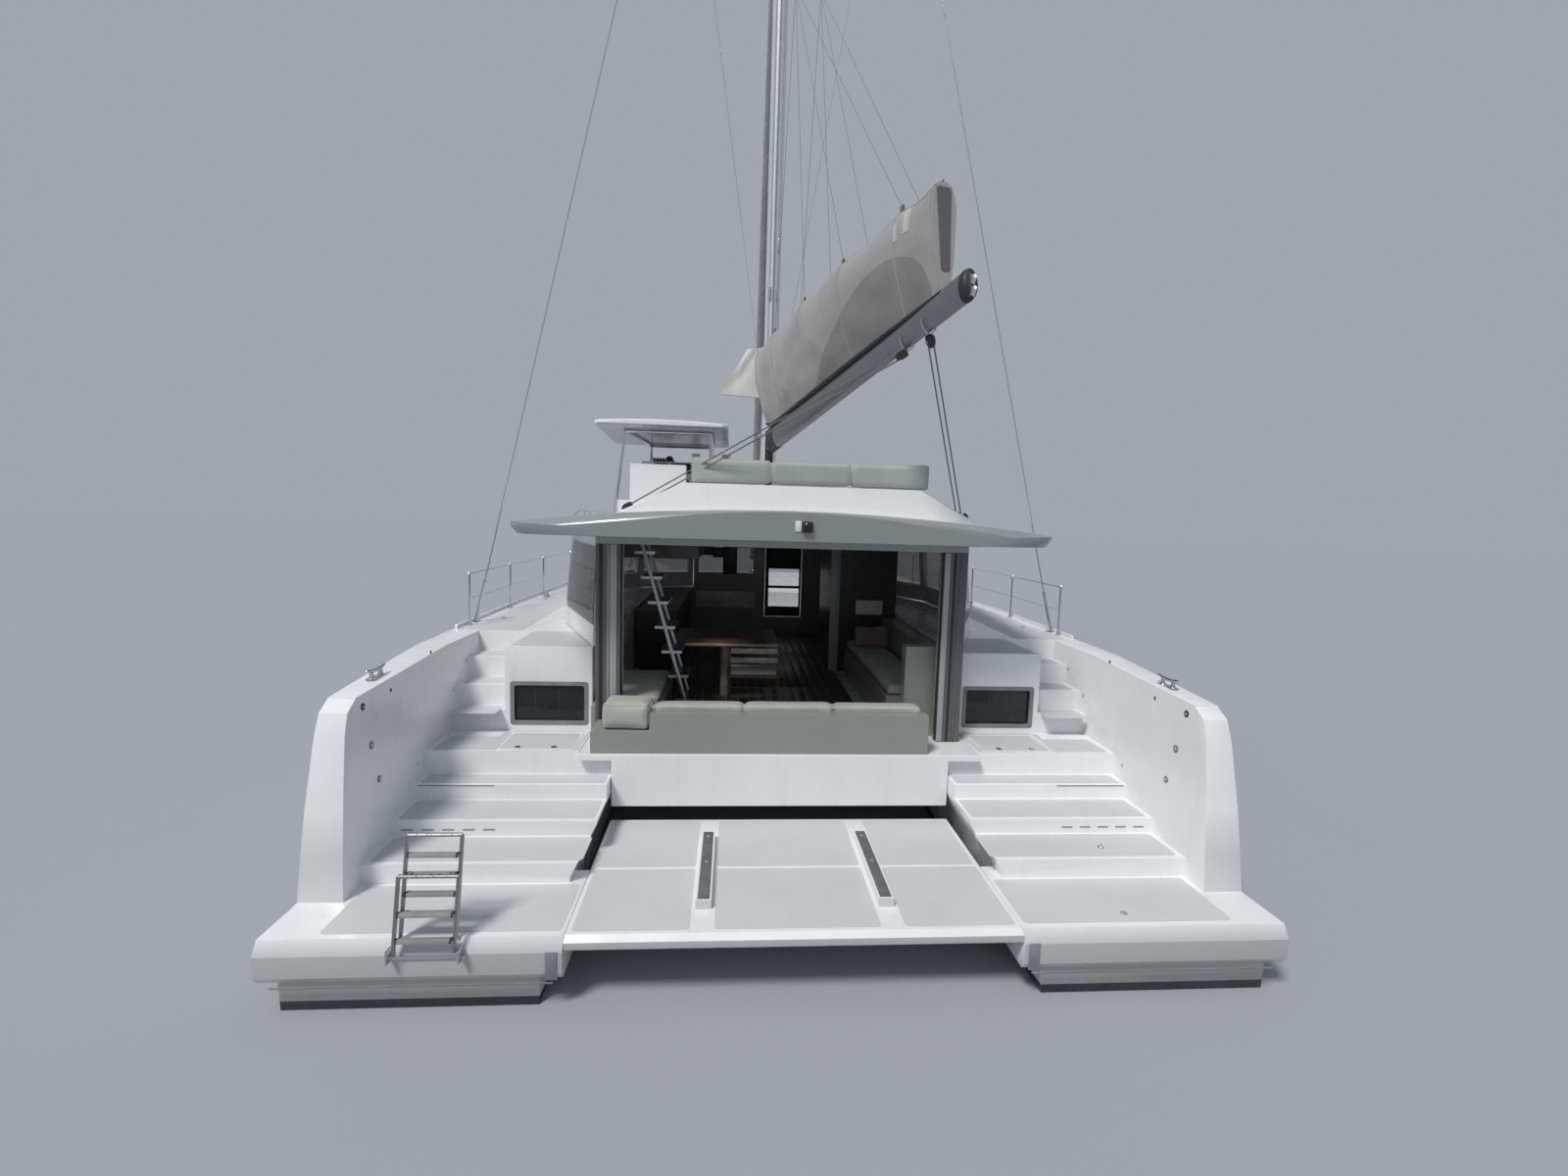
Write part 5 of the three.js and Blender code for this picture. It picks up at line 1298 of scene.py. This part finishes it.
def block(piece, top, down):
    """A sheave block hanging from top in the direction down."""
    down = Vector(down).normalized()
    side = down.cross(V(0, 1, 0)).normalized()
    turn = Matrix((side, down.cross(side), down)).transposed().to_4x4()
    turn.translation = top
    cheek = [(-0.034, 0.0), (0.034, 0.0), (0.04, 0.075), (0.02, 0.12), (-0.02, 0.12), (-0.04, 0.075)]
    outline = rounded(cheek, 0.02, 3)
    piece.slab(outline, -0.022, -0.013, "black", 0.003, turn @ UPRIGHT)
    piece.slab(outline, 0.013, 0.022, "black", 0.003, turn @ UPRIGHT)
    wheel = top + down * 0.068
    piece.turned("block_wheel", wheel, "alloy", 18, turn.to_3x3().col[1])


SHEET_BLOCKS = {"starboard": 4.85, "port": 4.45}


def mainsheets():
    """Two sheets of two parts each, from the boom to the roof's edges, taut."""
    feet = {"starboard": (2.0, 3.0), "port": (-1.73, 3.0)}
    for name, side in SIDES:
        x, s = feet[name]
        along = SHEET_BLOCKS[name]
        _, half_height = spar_half(along)
        top = on_boom(along, 0, -half_height * 1.15 - 0.01)
        foot = P(x, s, roof_height(x, s - HALF_LENGTH) + 0.02)
        down = (foot - top).normalized()
        hung = Piece(f"sheet_block_{name}", "boom")
        block(hung, top, down)
        hung.done()
        fixed = Piece(f"sheet_foot_{name}")
        fixed.turned("sheet_foot", foot, "steel", 14)
        block(fixed, foot + V(0, 0, 0.02) + -down * 0.125, down)
        fixed.done()
        ropes = Piece(f"mainsheet_{name}")
        across = down.cross(V(0, 1, 0)).normalized() * 0.026
        for shift in (-1, 1):
            a = top + down * 0.075 + across * shift
            b = foot - down * 0.045 + across * shift
            ropes.tube(line(a, b, 24), 0.0075, "dark_rope" if side < 0 else "grey_rope", 8)
        rope = ropes.done(ride=False)
        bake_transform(rope)


# Columns: distance along the boom, half width, underside and top above the boom's axis
BAG_TABLE = [
    (0.17, 0.285, 0.230, 1.390), (0.45, 0.290, 0.160, 1.410), (1.5, 0.295, 0.130, 1.345),
    (3.0, 0.285, 0.110, 1.225), (4.3, 0.215, 0.090, 1.110), (5.12, 0.115, 0.085, 1.035),
]
# Columns: share of the half width, share of the height
BAG_OUTLINE = [(0.34, 0), (0.62, 0.2), (0.86, 0.45), (1, 0.72), (0.82, 0.92), (0.3, 1)]
JACK_PLACES = (0.9, 2.15, 3.35, 4.6)
BAG_START = BAG_TABLE[0][0]
BAG_END = BAG_TABLE[-1][0]
BAG_ROWS = np.array(spline(BAG_TABLE, 24))
BAG_CURVE = [tuple(row) for row in spline(BAG_OUTLINE, 8)]
BAG_COUNT = 2 * len(BAG_CURVE)
HEM = {1: len(BAG_CURVE) - 5, -1: len(BAG_CURVE) + 4}
# Painted shade: a darker patch over the after half, where the bag's side turns under. Columns: distance along
# the boom, share of the height
SHADE_PANEL = [
    (2.3, 0.012), (2.5, 0.1), (2.75, 0.21), (3.15, 0.35), (3.5, 0.46), (3.85, 0.55), (4.2, 0.59),
    (4.5, 0.56), (4.75, 0.48), (4.9, 0.36), (4.97, 0.2), (5.0, 0.012),
]
# Pale patches by the after end. Columns: distances along the boom, shares of the height
PALE_PATCHES = [(4.71, 4.8, 0.71, 0.96), (4.55, 4.61, 0.68, 0.84)]


def bag_row(along):
    return [float(np.interp(along, BAG_ROWS[:, 0], BAG_ROWS[:, k])) for k in range(4)]


def bag_sag(along):
    """How far the bag's top edge hangs below its lazy jacks, from 0 at a jack to 1 between two."""
    places = (BAG_START, *JACK_PLACES, BAG_END)
    for a, b in zip(places, places[1:]):
        if a <= along <= b:
            return math.sin(math.pi * (along - a) / (b - a))
    return 0.0


def bag_point(along, turn):
    """A point of the bag's skin: turn runs from 0 at the starboard foot over the top to 1 at port."""
    _, half, low, high = bag_row(along)
    side = 1 if turn < 0.5 else -1
    t = turn * 2 if turn < 0.5 else 2 - turn * 2
    place = min(t, 1.0) * (len(BAG_CURVE) - 1)
    u, v = (float(np.interp(place, range(len(BAG_CURVE)), [row[k] for row in BAG_CURVE])) for k in (0, 1))
    sag = bag_sag(along)
    drop = 0.045 * sag * v**2
    bulge = 1 + 0.05 * sag * math.sin(math.pi * v) - 0.03 * (1 - sag) * math.sin(math.pi * min(v * 1.3, 1))
    x = side * u * half * bulge
    z = low + v * (high - low) - drop
    spot = V(along * 1.3, x * 3, z * 2.2)
    fold = noise.noise(spot * 1.7) * 0.014 + noise.noise(V(along * 3.4 + z * 3.0, side * 4, z * 1.2)) * 0.010
    x += side * fold * math.sin(math.pi * min(1, v * 1.1)) ** 0.5
    return V(x, -along, z + 0.004 * noise.noise(spot * 5))


def bag_vertex(along, k):
    """The k-th point of the bag's section at a distance along the boom."""
    return bag_point(along, k / (BAG_COUNT - 1))


def bag_patch(piece, side, columns, steps, finish):
    """Cloth laid on the bag's skin. Columns: distance along the boom, lowest and highest share there."""
    shares = [v for _, v in BAG_CURVE]
    last = len(BAG_CURVE) - 1
    bm = bmesh.new()
    grid = []
    for along, low, high in columns:
        row = []
        for k in range(steps + 1):
            t = float(np.interp(low + (high - low) * k / steps, shares, range(last + 1))) / last
            point = bag_point(along, t / 2 if side > 0 else 1 - t / 2)
            row.append(bm.verts.new(point + V(side * 0.004, 0, 0.001)))
        grid.append(row)
    quads(bm, grid, flip=side < 0)
    turn_rim(bm, (-side * 0.012, 0, 0))
    piece.take(bm, finish, BOOM_FRAME)


def sail_bag():
    piece = Piece("bag", "boom")
    alongs = list(np.arange(BAG_START, BAG_END, 0.035)) + [BAG_END]
    rings = [[bag_vertex(a, k) for k in range(BAG_COUNT)] for a in alongs]
    piece.loft(rings, "bag")
    bmesh.ops.transform(piece.bm, matrix=BOOM_FRAME, verts=piece.bm.verts)
    # Painted shade: dark cloth over the lower side of the bag, where it turns under
    panel = spline(SHADE_PANEL, 6)
    for side in (1, -1):
        bag_patch(piece, side, [(row[0], 0.0, row[1]) for row in panel], 14, "bag_shade")
        for a0, a1, v0, v1 in PALE_PATCHES:
            bag_patch(piece, side, [(a0 + (a1 - a0) * k / 4, v0, v1) for k in range(5)], 10, "patch")
    bag_lines(piece, alongs)
    bag_end(piece)
    piece.done(["sail_bag"], 50)


def bag_lines(piece, alongs):
    """The bag's seams, foot tapes, hems, zip and jack loops."""
    rows = len(BAG_CURVE)
    for along in (0.2, 1.05, 2.2, 3.4, 4.55, 5.09):
        for start in (0, rows):
            seam = [bag_vertex(along, k) for k in range(start, start + rows)]
            seam = [p + V(math.copysign(0.003, p.x), 0, 0) for p in seam]
            piece.tube(seam, 0.006, "bag", 6, turn=BOOM_FRAME)
    tapes = ((0, BAG_COUNT - 1), "black", 0.022), ((HEM[1], HEM[-1]), "bag", 0.011)
    for places, finish, radius in tapes:
        for k in places:
            piece.tube([bag_vertex(a, k) for a in alongs[::2]], radius, finish, 6, turn=BOOM_FRAME)
    zip_line = [V(0, -a, (bag_point(a, 0.5).z + bag_vertex(a, rows - 1).z) / 2 + 0.012) for a in alongs[::2]]
    piece.tube(zip_line, 0.009, "webbing", 6, turn=BOOM_FRAME)
    for along in JACK_PLACES:
        for side in (1, -1):
            p = bag_vertex(along, HEM[side])
            reach = V(0.012, 0.03, 0.05)
            piece.box(p - reach, p + reach, "webbing", 0.006, BOOM_FRAME)


def bag_end(piece):
    """The open after end: a dark slab between the two leaves, partly the dark strap there and partly painted
    shade for the gap where the flaked sail lies.
    """
    _, half, low, high = bag_row(BAG_END)
    foot, head = low + 0.2 * (high - low), high - 0.05
    # Painted shade: the dark slot stands for the gap between the leaves
    slot = [(-half * 0.35, foot), (half * 0.35, foot), (half * 0.6, head), (-half * 0.6, head)]
    bm = bmesh.new()
    bm.faces.new([bm.verts.new((x, -5.128, z)) for x, z in rounded(slot, 0.03, 3)])
    thicken(bm, (0, 0.03, 0))
    piece.take(bm, "webbing", BOOM_FRAME)


def lazy_jacks():
    """Thin lines from the mast to the bag's edges, taut where the boom lies at rest."""
    for name, side in SIDES:
        top = P(side * 0.1, MAST_STATION - 0.1, 14.2)
        lines = Piece(f"lazy_jack_{name}")
        knot = between(top, on_boom(2.75, side * 0.25, 1.2), 0.48)
        lines.tube(line(top, knot, 10), 0.004, "grey_rope", 6)
        for along in JACK_PLACES:
            end = BOOM_FRAME @ (bag_vertex(along, HEM[side]) + V(0, 0, 0.03))
            lines.tube(line(knot, end, 14), 0.0032, "grey_rope", 6)
        obj = lines.done(ride=False)
        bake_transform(obj)


def luff_fold():
    """Two leaves of sailcloth that stand out of the bag beside the mast."""
    bm = bmesh.new()
    columns, rows = 20, 16
    grids = []
    for leaf, station in ((0, 6.485), (1, 6.535)):
        grid = []
        for j in range(rows + 1):
            v = j / rows
            row = []
            for i in range(columns + 1):
                u = i / columns
                inner = V(-0.135, 0, 5.345 + v * 0.765)
                outer = V(-0.78, 0, 5.375).lerp(V(-0.37, 0, 6.085), v)
                outer.x -= 0.06 * math.sin(math.pi * min(1, v * 2)) * (1 - v)
                p = inner.lerp(outer, u)
                wave = 0.012 * math.sin(u * 9 + v * 5 + leaf) * u
                wave += 0.006 * noise.noise(V(u * 5, v * 5, leaf))
                row.append(bm.verts.new(P(p.x, station + wave, p.z)))
            grid.append(row)
        grids.append(grid)
        quads(bm, grid, flip=not leaf)
    # The fold joins the leaves along the outer edge
    for j in range(rows):
        a, b = grids[0][j][-1], grids[0][j + 1][-1]
        c, d = grids[1][j + 1][-1], grids[1][j][-1]
        bm.faces.new((a, b, c, d))
    bmesh.ops.recalc_face_normals(bm, faces=bm.faces)
    piece = Piece("luff_fold")
    piece.take(bm, "sail")
    obj = piece.done(["sail_luff_fold"], 60)


# Columns: share of the stay, radius
ROLL_TABLE = [
    (0.05, 0.026), (0.056, 0.05), (0.062, 0.072), (0.12, 0.088), (0.25, 0.103), (0.4, 0.1),
    (0.6, 0.08), (0.8, 0.06), (0.9, 0.047), (0.93, 0.03), (0.945, 0.018),
]
STAY = (P(0, 13.48, 2.19), P(0, 6.70, 20.75))
STAY_ALONG = (STAY[1] - STAY[0]).normalized()
STAY_LENGTH = (STAY[1] - STAY[0]).length
# How far up the stay one turn of the roll's edge climbs
ROLL_PITCH = 0.62


def stay_point(share):
    return STAY[0] + STAY_ALONG * STAY_LENGTH * share


def headsail():
    """The furled headsail: a roll with a spiral edge of sun cloth."""
    side = V(1, 0, 0)
    other = STAY_ALONG.cross(side).normalized()
    roll = Piece("headsail_roll")
    bm = bmesh.new()
    steps, sides = 260, 20
    rings = []
    table = np.array(ROLL_TABLE)
    for k in range(steps + 1):
        share = float(table[0][0] + (table[-1][0] - table[0][0]) * k / steps)
        radius = float(np.interp(share, table[:, 0], table[:, 1]))
        centre = stay_point(share)
        phase = share * STAY_LENGTH / ROLL_PITCH * 2 * math.pi
        ring = []
        for a in angles(sides):
            step = ((a - phase) / (2 * math.pi)) % 1.0
            r = radius * (0.93 + 0.07 * step) + 0.003 * noise.noise(V(a, share * 60, 0))
            ring.append(bm.verts.new(centre + r * (math.cos(a) * side + math.sin(a) * other)))
        rings.append(ring)
    for k, (low, high) in enumerate(zip(rings, rings[1:])):
        share = float(table[0][0] + (table[-1][0] - table[0][0]) * (k + 0.5) / steps)
        phase = share * STAY_LENGTH / ROLL_PITCH
        for i in range(sides):
            j = (i + 1) % sides
            face = bm.faces.new((low[i], low[j], high[j], high[i]))
            step = ((i + 0.5) / sides - phase) % 1.0
            face.material_index = 1 if step > 0.9 else 0
    bm.faces.new(rings[0][::-1])
    bm.faces.new(rings[-1])
    bmesh.ops.recalc_face_normals(bm, faces=bm.faces)
    roll.finishes = ["strip", "bag"]
    roll.join(bm)
    roll.done(["headsail_furled"], 60)


def furler():
    """The headsail's drum, foil and top swivel on its stay."""
    gear = Piece("furler")
    at = stay_point
    gear.tube([at(0.0), at(0.012)], 0.014, "steel", 10)
    gear.turned("furler_drum", at(0.012), "black", 26, STAY_ALONG)
    gear.turned("drum_rope", at(0.0135), "dark_rope", 26, STAY_ALONG)
    gear.tube([at(0.022), at(0.05)], 0.026, "alloy", 14)
    gear.tube([at(0.945), at(0.96)], [0.035, 0.035], "black", 14)
    gear.tube([at(0.93), at(1.0)], 0.013, "alloy", 10)
    gear.done()


# Padded pieces: simulated cushions with piped edges
CUSHION_VOXEL = 0.016
PIPING_RADIUS = 0.0045
INFLATE_FRAMES = 14


def cushion_set(name, blocks, finish, replaces, cap=0.014):
    """Boxes (low, high) made into one set of cushions, blown up by simulation and piped."""
    bm = bmesh.new()
    for low, high in blocks:
        low, high = Vector(low), Vector(high)
        size = high - low
        part = cube(size - V(1, 1, 1) * cap * 0.9, (low + high) / 2)
        soften(part, part.edges[:], min(0.03, min(size) * 0.35), 3)
        mesh = mesh_of(part, "block")
        bm.from_mesh(mesh)
        bpy.data.meshes.remove(mesh)
    obj = add_object(name, mesh_of(bm, name))
    remesh = obj.modifiers.new("remesh", "REMESH")
    remesh.mode = "VOXEL"
    remesh.voxel_size = CUSHION_VOXEL
    remesh.use_smooth_shade = True
    keep_evaluated(obj)
    inflate(obj, cap)
    smooth = obj.modifiers.new("smooth", "CORRECTIVE_SMOOTH")
    smooth.iterations = 3
    smooth.use_only_smooth = True
    keep_evaluated(obj)
    piece = Piece(name)
    soft = bmesh.new()
    soft.from_mesh(obj.data)
    tree = BVHTree.FromBMesh(soft)
    piece.take(soft, finish)
    for low, high in blocks:
        pipe_edges(piece, tree, Vector(low), Vector(high), finish)
    old = obj.data
    bpy.data.objects.remove(obj)
    bpy.data.meshes.remove(old)
    piece.done(replaces, 180)


def keep_evaluated(obj):
    """Replaces an object's mesh by its evaluated one and drops its modifiers."""
    evaluated = obj.evaluated_get(bpy.context.evaluated_depsgraph_get())
    mesh = bpy.data.meshes.new_from_object(evaluated)
    old = obj.data
    obj.modifiers.clear()
    obj.data = mesh
    bpy.data.meshes.remove(old)


def inflate(obj, cap):
    """Blows a closed mesh up as cloth under pressure, then limits how far each point has moved."""
    rest = [v.co.copy() for v in obj.data.vertices]
    cloth = obj.modifiers.new("cloth", "CLOTH")
    cloth.settings.use_pressure = True
    cloth.settings.uniform_pressure_force = 4
    cloth.settings.quality = 4
    cloth.settings.mass = 0.3
    cloth.settings.effector_weights.gravity = 0
    cloth.collision_settings.use_collision = False
    cloth.point_cache.frame_start = 1
    cloth.point_cache.frame_end = INFLATE_FRAMES
    scene = bpy.context.scene
    for number in range(1, INFLATE_FRAMES + 1):
        scene.frame_set(number)
    keep_evaluated(obj)
    scene.frame_set(1)
    for vertex, before in zip(obj.data.vertices, rest):
        move = vertex.co - before
        if move.length > cap:
            vertex.co = before + move.normalized() * cap


def pipe_edges(piece, tree, low, high, finish):
    """Piping round the two broad faces of a cushion, laid on its skin."""
    size = high - low
    thin = min(range(3), key=lambda i: size[i])
    a, b = (i for i in range(3) if i != thin)
    for end in (0, 1):
        outline = oblong(low[a], low[b], high[a], high[b], 0.035)
        fine = []
        for i, corner in enumerate(outline):
            after = outline[(i + 1) % len(outline)]
            (p, u), (q, v) = corner, after
            steps = max(1, int(math.dist(corner, after) / 0.05))
            fine += [(p + (q - p) * k / steps, u + (v - u) * k / steps) for k in range(steps)]
        points = []
        for spot_a, spot_b in fine:
            spot = V(0, 0, 0)
            spot[a], spot[b] = spot_a, spot_b
            spot[thin] = high[thin] - 0.012 if end else low[thin] + 0.012
            near = tree.find_nearest(spot)
            points.append(near[0] if near[0] else spot)
        piece.tube(points, PIPING_RADIUS, finish, 6, closed=True)


def split_box(low, high, axis, count, gap=0.012):
    """One box cut into equal lengths along an axis, with a gap between them."""
    low, high = Vector(low), Vector(high)
    length = (high[axis] - low[axis] + gap) / count
    made = []
    for k in range(count):
        a, b = low.copy(), high.copy()
        a[axis] = low[axis] + k * length
        b[axis] = a[axis] + length - gap
        made.append((a, b))
    return made


def cushions():
    back = split_box(P(-1.0, 2.652, 3.803), P(1.548, 2.80, 4.085), 0, 3)
    pad = split_box(P(-0.985, 2.85, 3.703), P(1.465, 3.475, 3.828), 0, 3)
    cushion_set("fly_cushions", back + pad, "vinyl", ["fly_cushion"])
    bench = split_box(P(-1.295, 2.07, 1.502), P(1.425, 2.298, 1.608), 0, 3)
    bolster = [(P(-1.765, 1.955, 1.392), P(-1.305, 2.305, 1.66))]
    cushion_set("bench_cushions", bench + bolster, "pale_vinyl", ["bench_cushion"], cap=0.016)
    sofa = split_box(P(1.195, 2.715, 1.562), P(1.725, 5.585, 1.678), 1, 4)
    cushion_set("sofa_cushions", sofa, "pale_vinyl", ["sofa_cushion"])
    port = split_box(P(-1.945, 2.485, 1.502), P(-1.255, 3.785, 1.588), 1, 2)
    cushion_set("port_seat_cushions", port, "pale_vinyl", ["port_seat_cushion"])
    rose = [(P(1.2, 4.83, 1.69), P(1.7, 4.98, 2.0))]
    cushion_set("scatter_cushion", rose, "rose", (), cap=0.02)
    seat = [(P(-1.84, 4.262, 3.402), P(-1.11, 4.625, 3.483)), (P(-1.80, 4.262, 3.5), P(-1.15, 4.34, 4.025))]
    cushion_set("helm_cushions", seat, "vinyl", ["helm_cushion"])


# Cockpit and saloon
def cockpit_details():
    piece = Piece("cockpit_details")
    # Teak-look sole boards inside, with their caulking left as gaps
    for k in range(26):
        x = -1.9 + 0.147 * k
        for s0, s1 in ((2.48, 4.6), (4.606, 6.9), (6.906, 9.12)):
            if x + 0.14 > 1.17 and s0 < 5.6:
                continue
            piece.box(P(x, s0, SOLE_Z), P(x + 0.143, s1, SOLE_Z + 0.006), "sole", 0.0015)
    piece.done()


def interior_details():
    """Pale edges, the cabinet's fittings, a blind and ceiling lights, as they show through the opening."""
    piece = Piece("saloon_details")
    piece.box(P(1.34, 5.646, 2.05), P(1.75, 5.659, 2.27), "white_plastic", 0.006)
    piece.box(P(0.95, 5.644, SOLE_Z + 0.01), P(1.09, 5.659, 3.15), "grey", 0.006)
    piece.box(P(-1.25, 3.894, 1.862), P(0.06, 3.9, 1.898), "pale_wood", 0.003)
    for s in (4.15, 4.75):
        piece.tube([P(-0.6, s, SOLE_Z + 0.008), P(-0.6, s, 1.858)], 0.0625, "pale_wood", 16)
    piece.box(P(-1.25, 9.122, 1.66), P(-0.05, 9.139, 1.99), "white_plastic", 0.004)
    # Blind over parts of the forward window: columns low x, low z, high x, high z
    for x0, z0, x1, z1 in ((-1.2, 2.7, -0.92, 3.08), (-0.72, 2.33, -0.44, 3.08), (-0.92, 2.66, -0.72, 2.86),
                           (-0.44, 2.86, -0.1, 3.08)):
        piece.box(P(x0, 9.12, z0), P(x1, 9.138, z1), "dark_wood", 0.004)
    for x, s in ((-0.6, 5.2), (0.35, 5.2), (-0.6, 7.2), (0.35, 7.2), (1.3, 4.4)):
        piece.turned("ceiling_light", P(x, s, 3.2595), "lens", 18, (0, 0, -1))
    piece.done()


def leaf(name, body, low, high, wide, borders, rails, glass):
    """A pane in a bar frame: wide names its two broad axes, borders the bar widths at their ends."""
    low, high = Vector(low), Vector(high)
    a, b = wide
    (a0, a1), (b0, b1) = borders
    piece = Piece(f"{name}_leaf", body)

    def bar(a_low, a_high, b_low, b_high, finish="black", inset=0.0, edge=0.004):
        start, end = low.copy(), high.copy()
        start[a], end[a], start[b], end[b] = a_low, a_high, b_low, b_high
        thin = 3 - a - b
        start[thin] += inset
        end[thin] -= inset
        piece.box(start, end, finish, edge)

    bar(low[a], high[a], low[b], low[b] + b0)
    bar(low[a], high[a], high[b] - b1, high[b])
    bar(low[a], low[a] + a0, low[b] + b0, high[b] - b1)
    bar(high[a] - a1, high[a], low[b] + b0, high[b] - b1)
    for start, end in rails:
        bar(low[a] + a0, high[a] - a1, start, end, inset=0.006)
    let_in = 0.004
    pane = low[a] + a0 - let_in, high[a] - a1 + let_in, low[b] + b0 - let_in, high[b] - b1 + let_in
    bar(*pane, glass, 0.017, 0.001)
    piece.done([name])


def door_leaves():
    place = P(0.13, 9.16, 1.5), P(0.85, 9.2, 3.09)
    rails = (2.07, 2.12), (2.46, 2.94)
    leaf("forward_door", "forward_door", *place, (0, 2), ((0.07, 0.04), (0.2, 0.05)), rails, "clear")
    place = P(-0.88, 2.70, 3.19), P(1.54, 4.50, 3.235)
    leaf("tilt_door", "root", *place, (0, 1), ((0.08, 0.08), (0.08, 0.08)), (), "pane")


# Both sections of the ladder stand in this frame: across it, aft to forward, and up along its rails
LADDER_FRAME = Matrix.Translation(P(-2.565, -0.045, 0.47)) @ Matrix.Rotation(math.radians(-12), 4, "X")


def ladder_treads():
    # Columns: node, half width, offset, treads' places along the rails
    for node, half, offset, places in (("ladder", 0.2, 0.0, (0.08, 0.25)),
                                       ("ladder_extension", 0.185, 0.064, (0.235, 0.365, 0.495, 0.625))):
        piece = Piece(f"{node}_treads", node)
        for z in places:
            place = V(0, offset, z)
            reach = V(half - 0.017, 0.0285, 0.014)
            piece.box(place - reach, place + reach, "tread", 0.004, LADDER_FRAME)
            for side in (1, -1):
                place = V(side * (half - 0.022), offset, z)
                reach = V(0.008, 0.0288, 0.0155)
                piece.box(place - reach, place + reach, "black", 0.004, LADDER_FRAME)
        piece.done()


def chair():
    piece = Piece("chair")
    x0, x1, s0, s1 = -0.57, 0.06, 3.42, 3.86
    seat = 1.60
    for x in (x0 + 0.03, x1 - 0.03):
        for s, lean, top in ((s0 + 0.03, -0.02, 1.93), (s1 - 0.03, 0.0, seat)):
            foot = P(x, s - lean * 0.4, SOLE_Z + 0.007)
            piece.tube([foot, P(x, s, seat - 0.05), P(x, s + lean, top)], [0.014, 0.019, 0.014], "wood", 10)
    piece.box(P(x0, s0, seat - 0.03), P(x1, s1, seat), "wood", 0.012)
    cushion = P(x0 + 0.02, s0 + 0.02, seat), P(x1 - 0.02, s1 - 0.01, seat + 0.05)
    piece.box(*cushion, "pale_vinyl", 0.02, segments=3)
    for z in (1.79, 1.90):
        piece.box(P(x0 + 0.02, s0 + 0.004, z - 0.035), P(x1 - 0.02, s0 + 0.026, z + 0.03), "pale_wood", 0.008)
    for s in (s0 + 0.03, s1 - 0.03):
        piece.tube([P(x0 + 0.03, s, 1.36), P(x1 - 0.03, s, 1.36)], 0.009, "wood", 8)
    piece.done(["saloon_chair"])


# Strips down the after faces of the posts, from inboard. Columns: side, low and high |x|, finish
PORTAL_STRIPS = [
    (-1, 1.642, 1.672, "rubber"), (-1, 1.678, 1.745, "grey"), (-1, 1.75, 1.775, "stone"),
    (-1, 1.82, 1.852, "black"), (1, 1.642, 1.70, "grey"), (1, 1.742, 1.765, "black"),
    (1, 1.80, 1.83, "rubber"),
]


def portal_details():
    piece = Piece("portal_tracks")
    for side in (1, -1):
        x = side * 1.632
        for s0, s1, finish in ((2.345, 2.365, "black"), (2.395, 2.435, "alloy")):
            piece.box(P(x - 0.008, s0, SOLE_Z + 0.02), P(x + 0.008, s1, 3.168), finish, 0.003)
    for side, x0, x1, finish in PORTAL_STRIPS:
        piece.box(P(side * x0, 2.322, SOLE_Z + 0.01), P(side * x1, 2.336, 3.165), finish, 0.003)
    piece.done()


# Stage: floor at the waterline, a pale backdrop and one soft key light from the port quarter
SKY_STRENGTH = 0.42
KEY_STRENGTH = 2.5
KEY_ANGLE = math.radians(14)
KEY_FROM = (-0.36, -0.43, 0.83)
SKY_COLOUR = (0.84, 0.91, 1.0, 1)
KEY_COLOUR = (1.0, 0.975, 0.94)


def make_stage():
    bm = bmesh.new()
    bmesh.ops.create_circle(bm, cap_ends=True, segments=64, radius=180)
    floor = add_object("floor", mesh_of(bm, "floor"))
    finish = Finish("floor", (0.348, 0.372, 0.404), 1.0, Specular_IOR_Level=0.0)
    finish.tint(finish.ramp(finish.noise(0.2), 0.4, 0.7, 0.0, 0.5), (0.341, 0.365, 0.396))
    floor.data.materials.append(finish.material)
    world = bpy.data.worlds.new("studio")
    world.use_nodes = True
    background = world.node_tree.nodes["Background"]
    background.inputs[0].default_value = SKY_COLOUR
    background.inputs[1].default_value = SKY_STRENGTH
    bpy.context.scene.world = world
    data = bpy.data.lights.new("key", "SUN")
    data.energy = KEY_STRENGTH
    data.angle = KEY_ANGLE
    data.color = KEY_COLOUR
    add_object("key", data).matrix_world = pointing(KEY_FROM)
    bpy.context.scene.view_settings.view_transform = "Standard"


EACH_SIDE = (
    hull, tread_panels, side_deck_panels, hull_windows, deck_fittings, deck_hatches, bulwark_details,
    platform_shadow_lines, aft_windows, engine_hatch_details,
)
ONCE = (
    platform_panels, corner_decks, foredeck_details, locker_lid_details, roof_panels, roof_fittings,
    stern_light, roof_underside, helm_details, wheel_hub, mast_details, boom_details, mainsheets,
    sail_bag, lazy_jacks, luff_fold, headsail, furler, cushions, cockpit_details, interior_details,
    door_leaves, ladder_treads, chair, portal_details,
)

make_camera()
make_stage()
dress_kept()
for side_name, side in SIDES:
    for build in EACH_SIDE:
        build(side_name, side)
for build in ONCE:
    build()
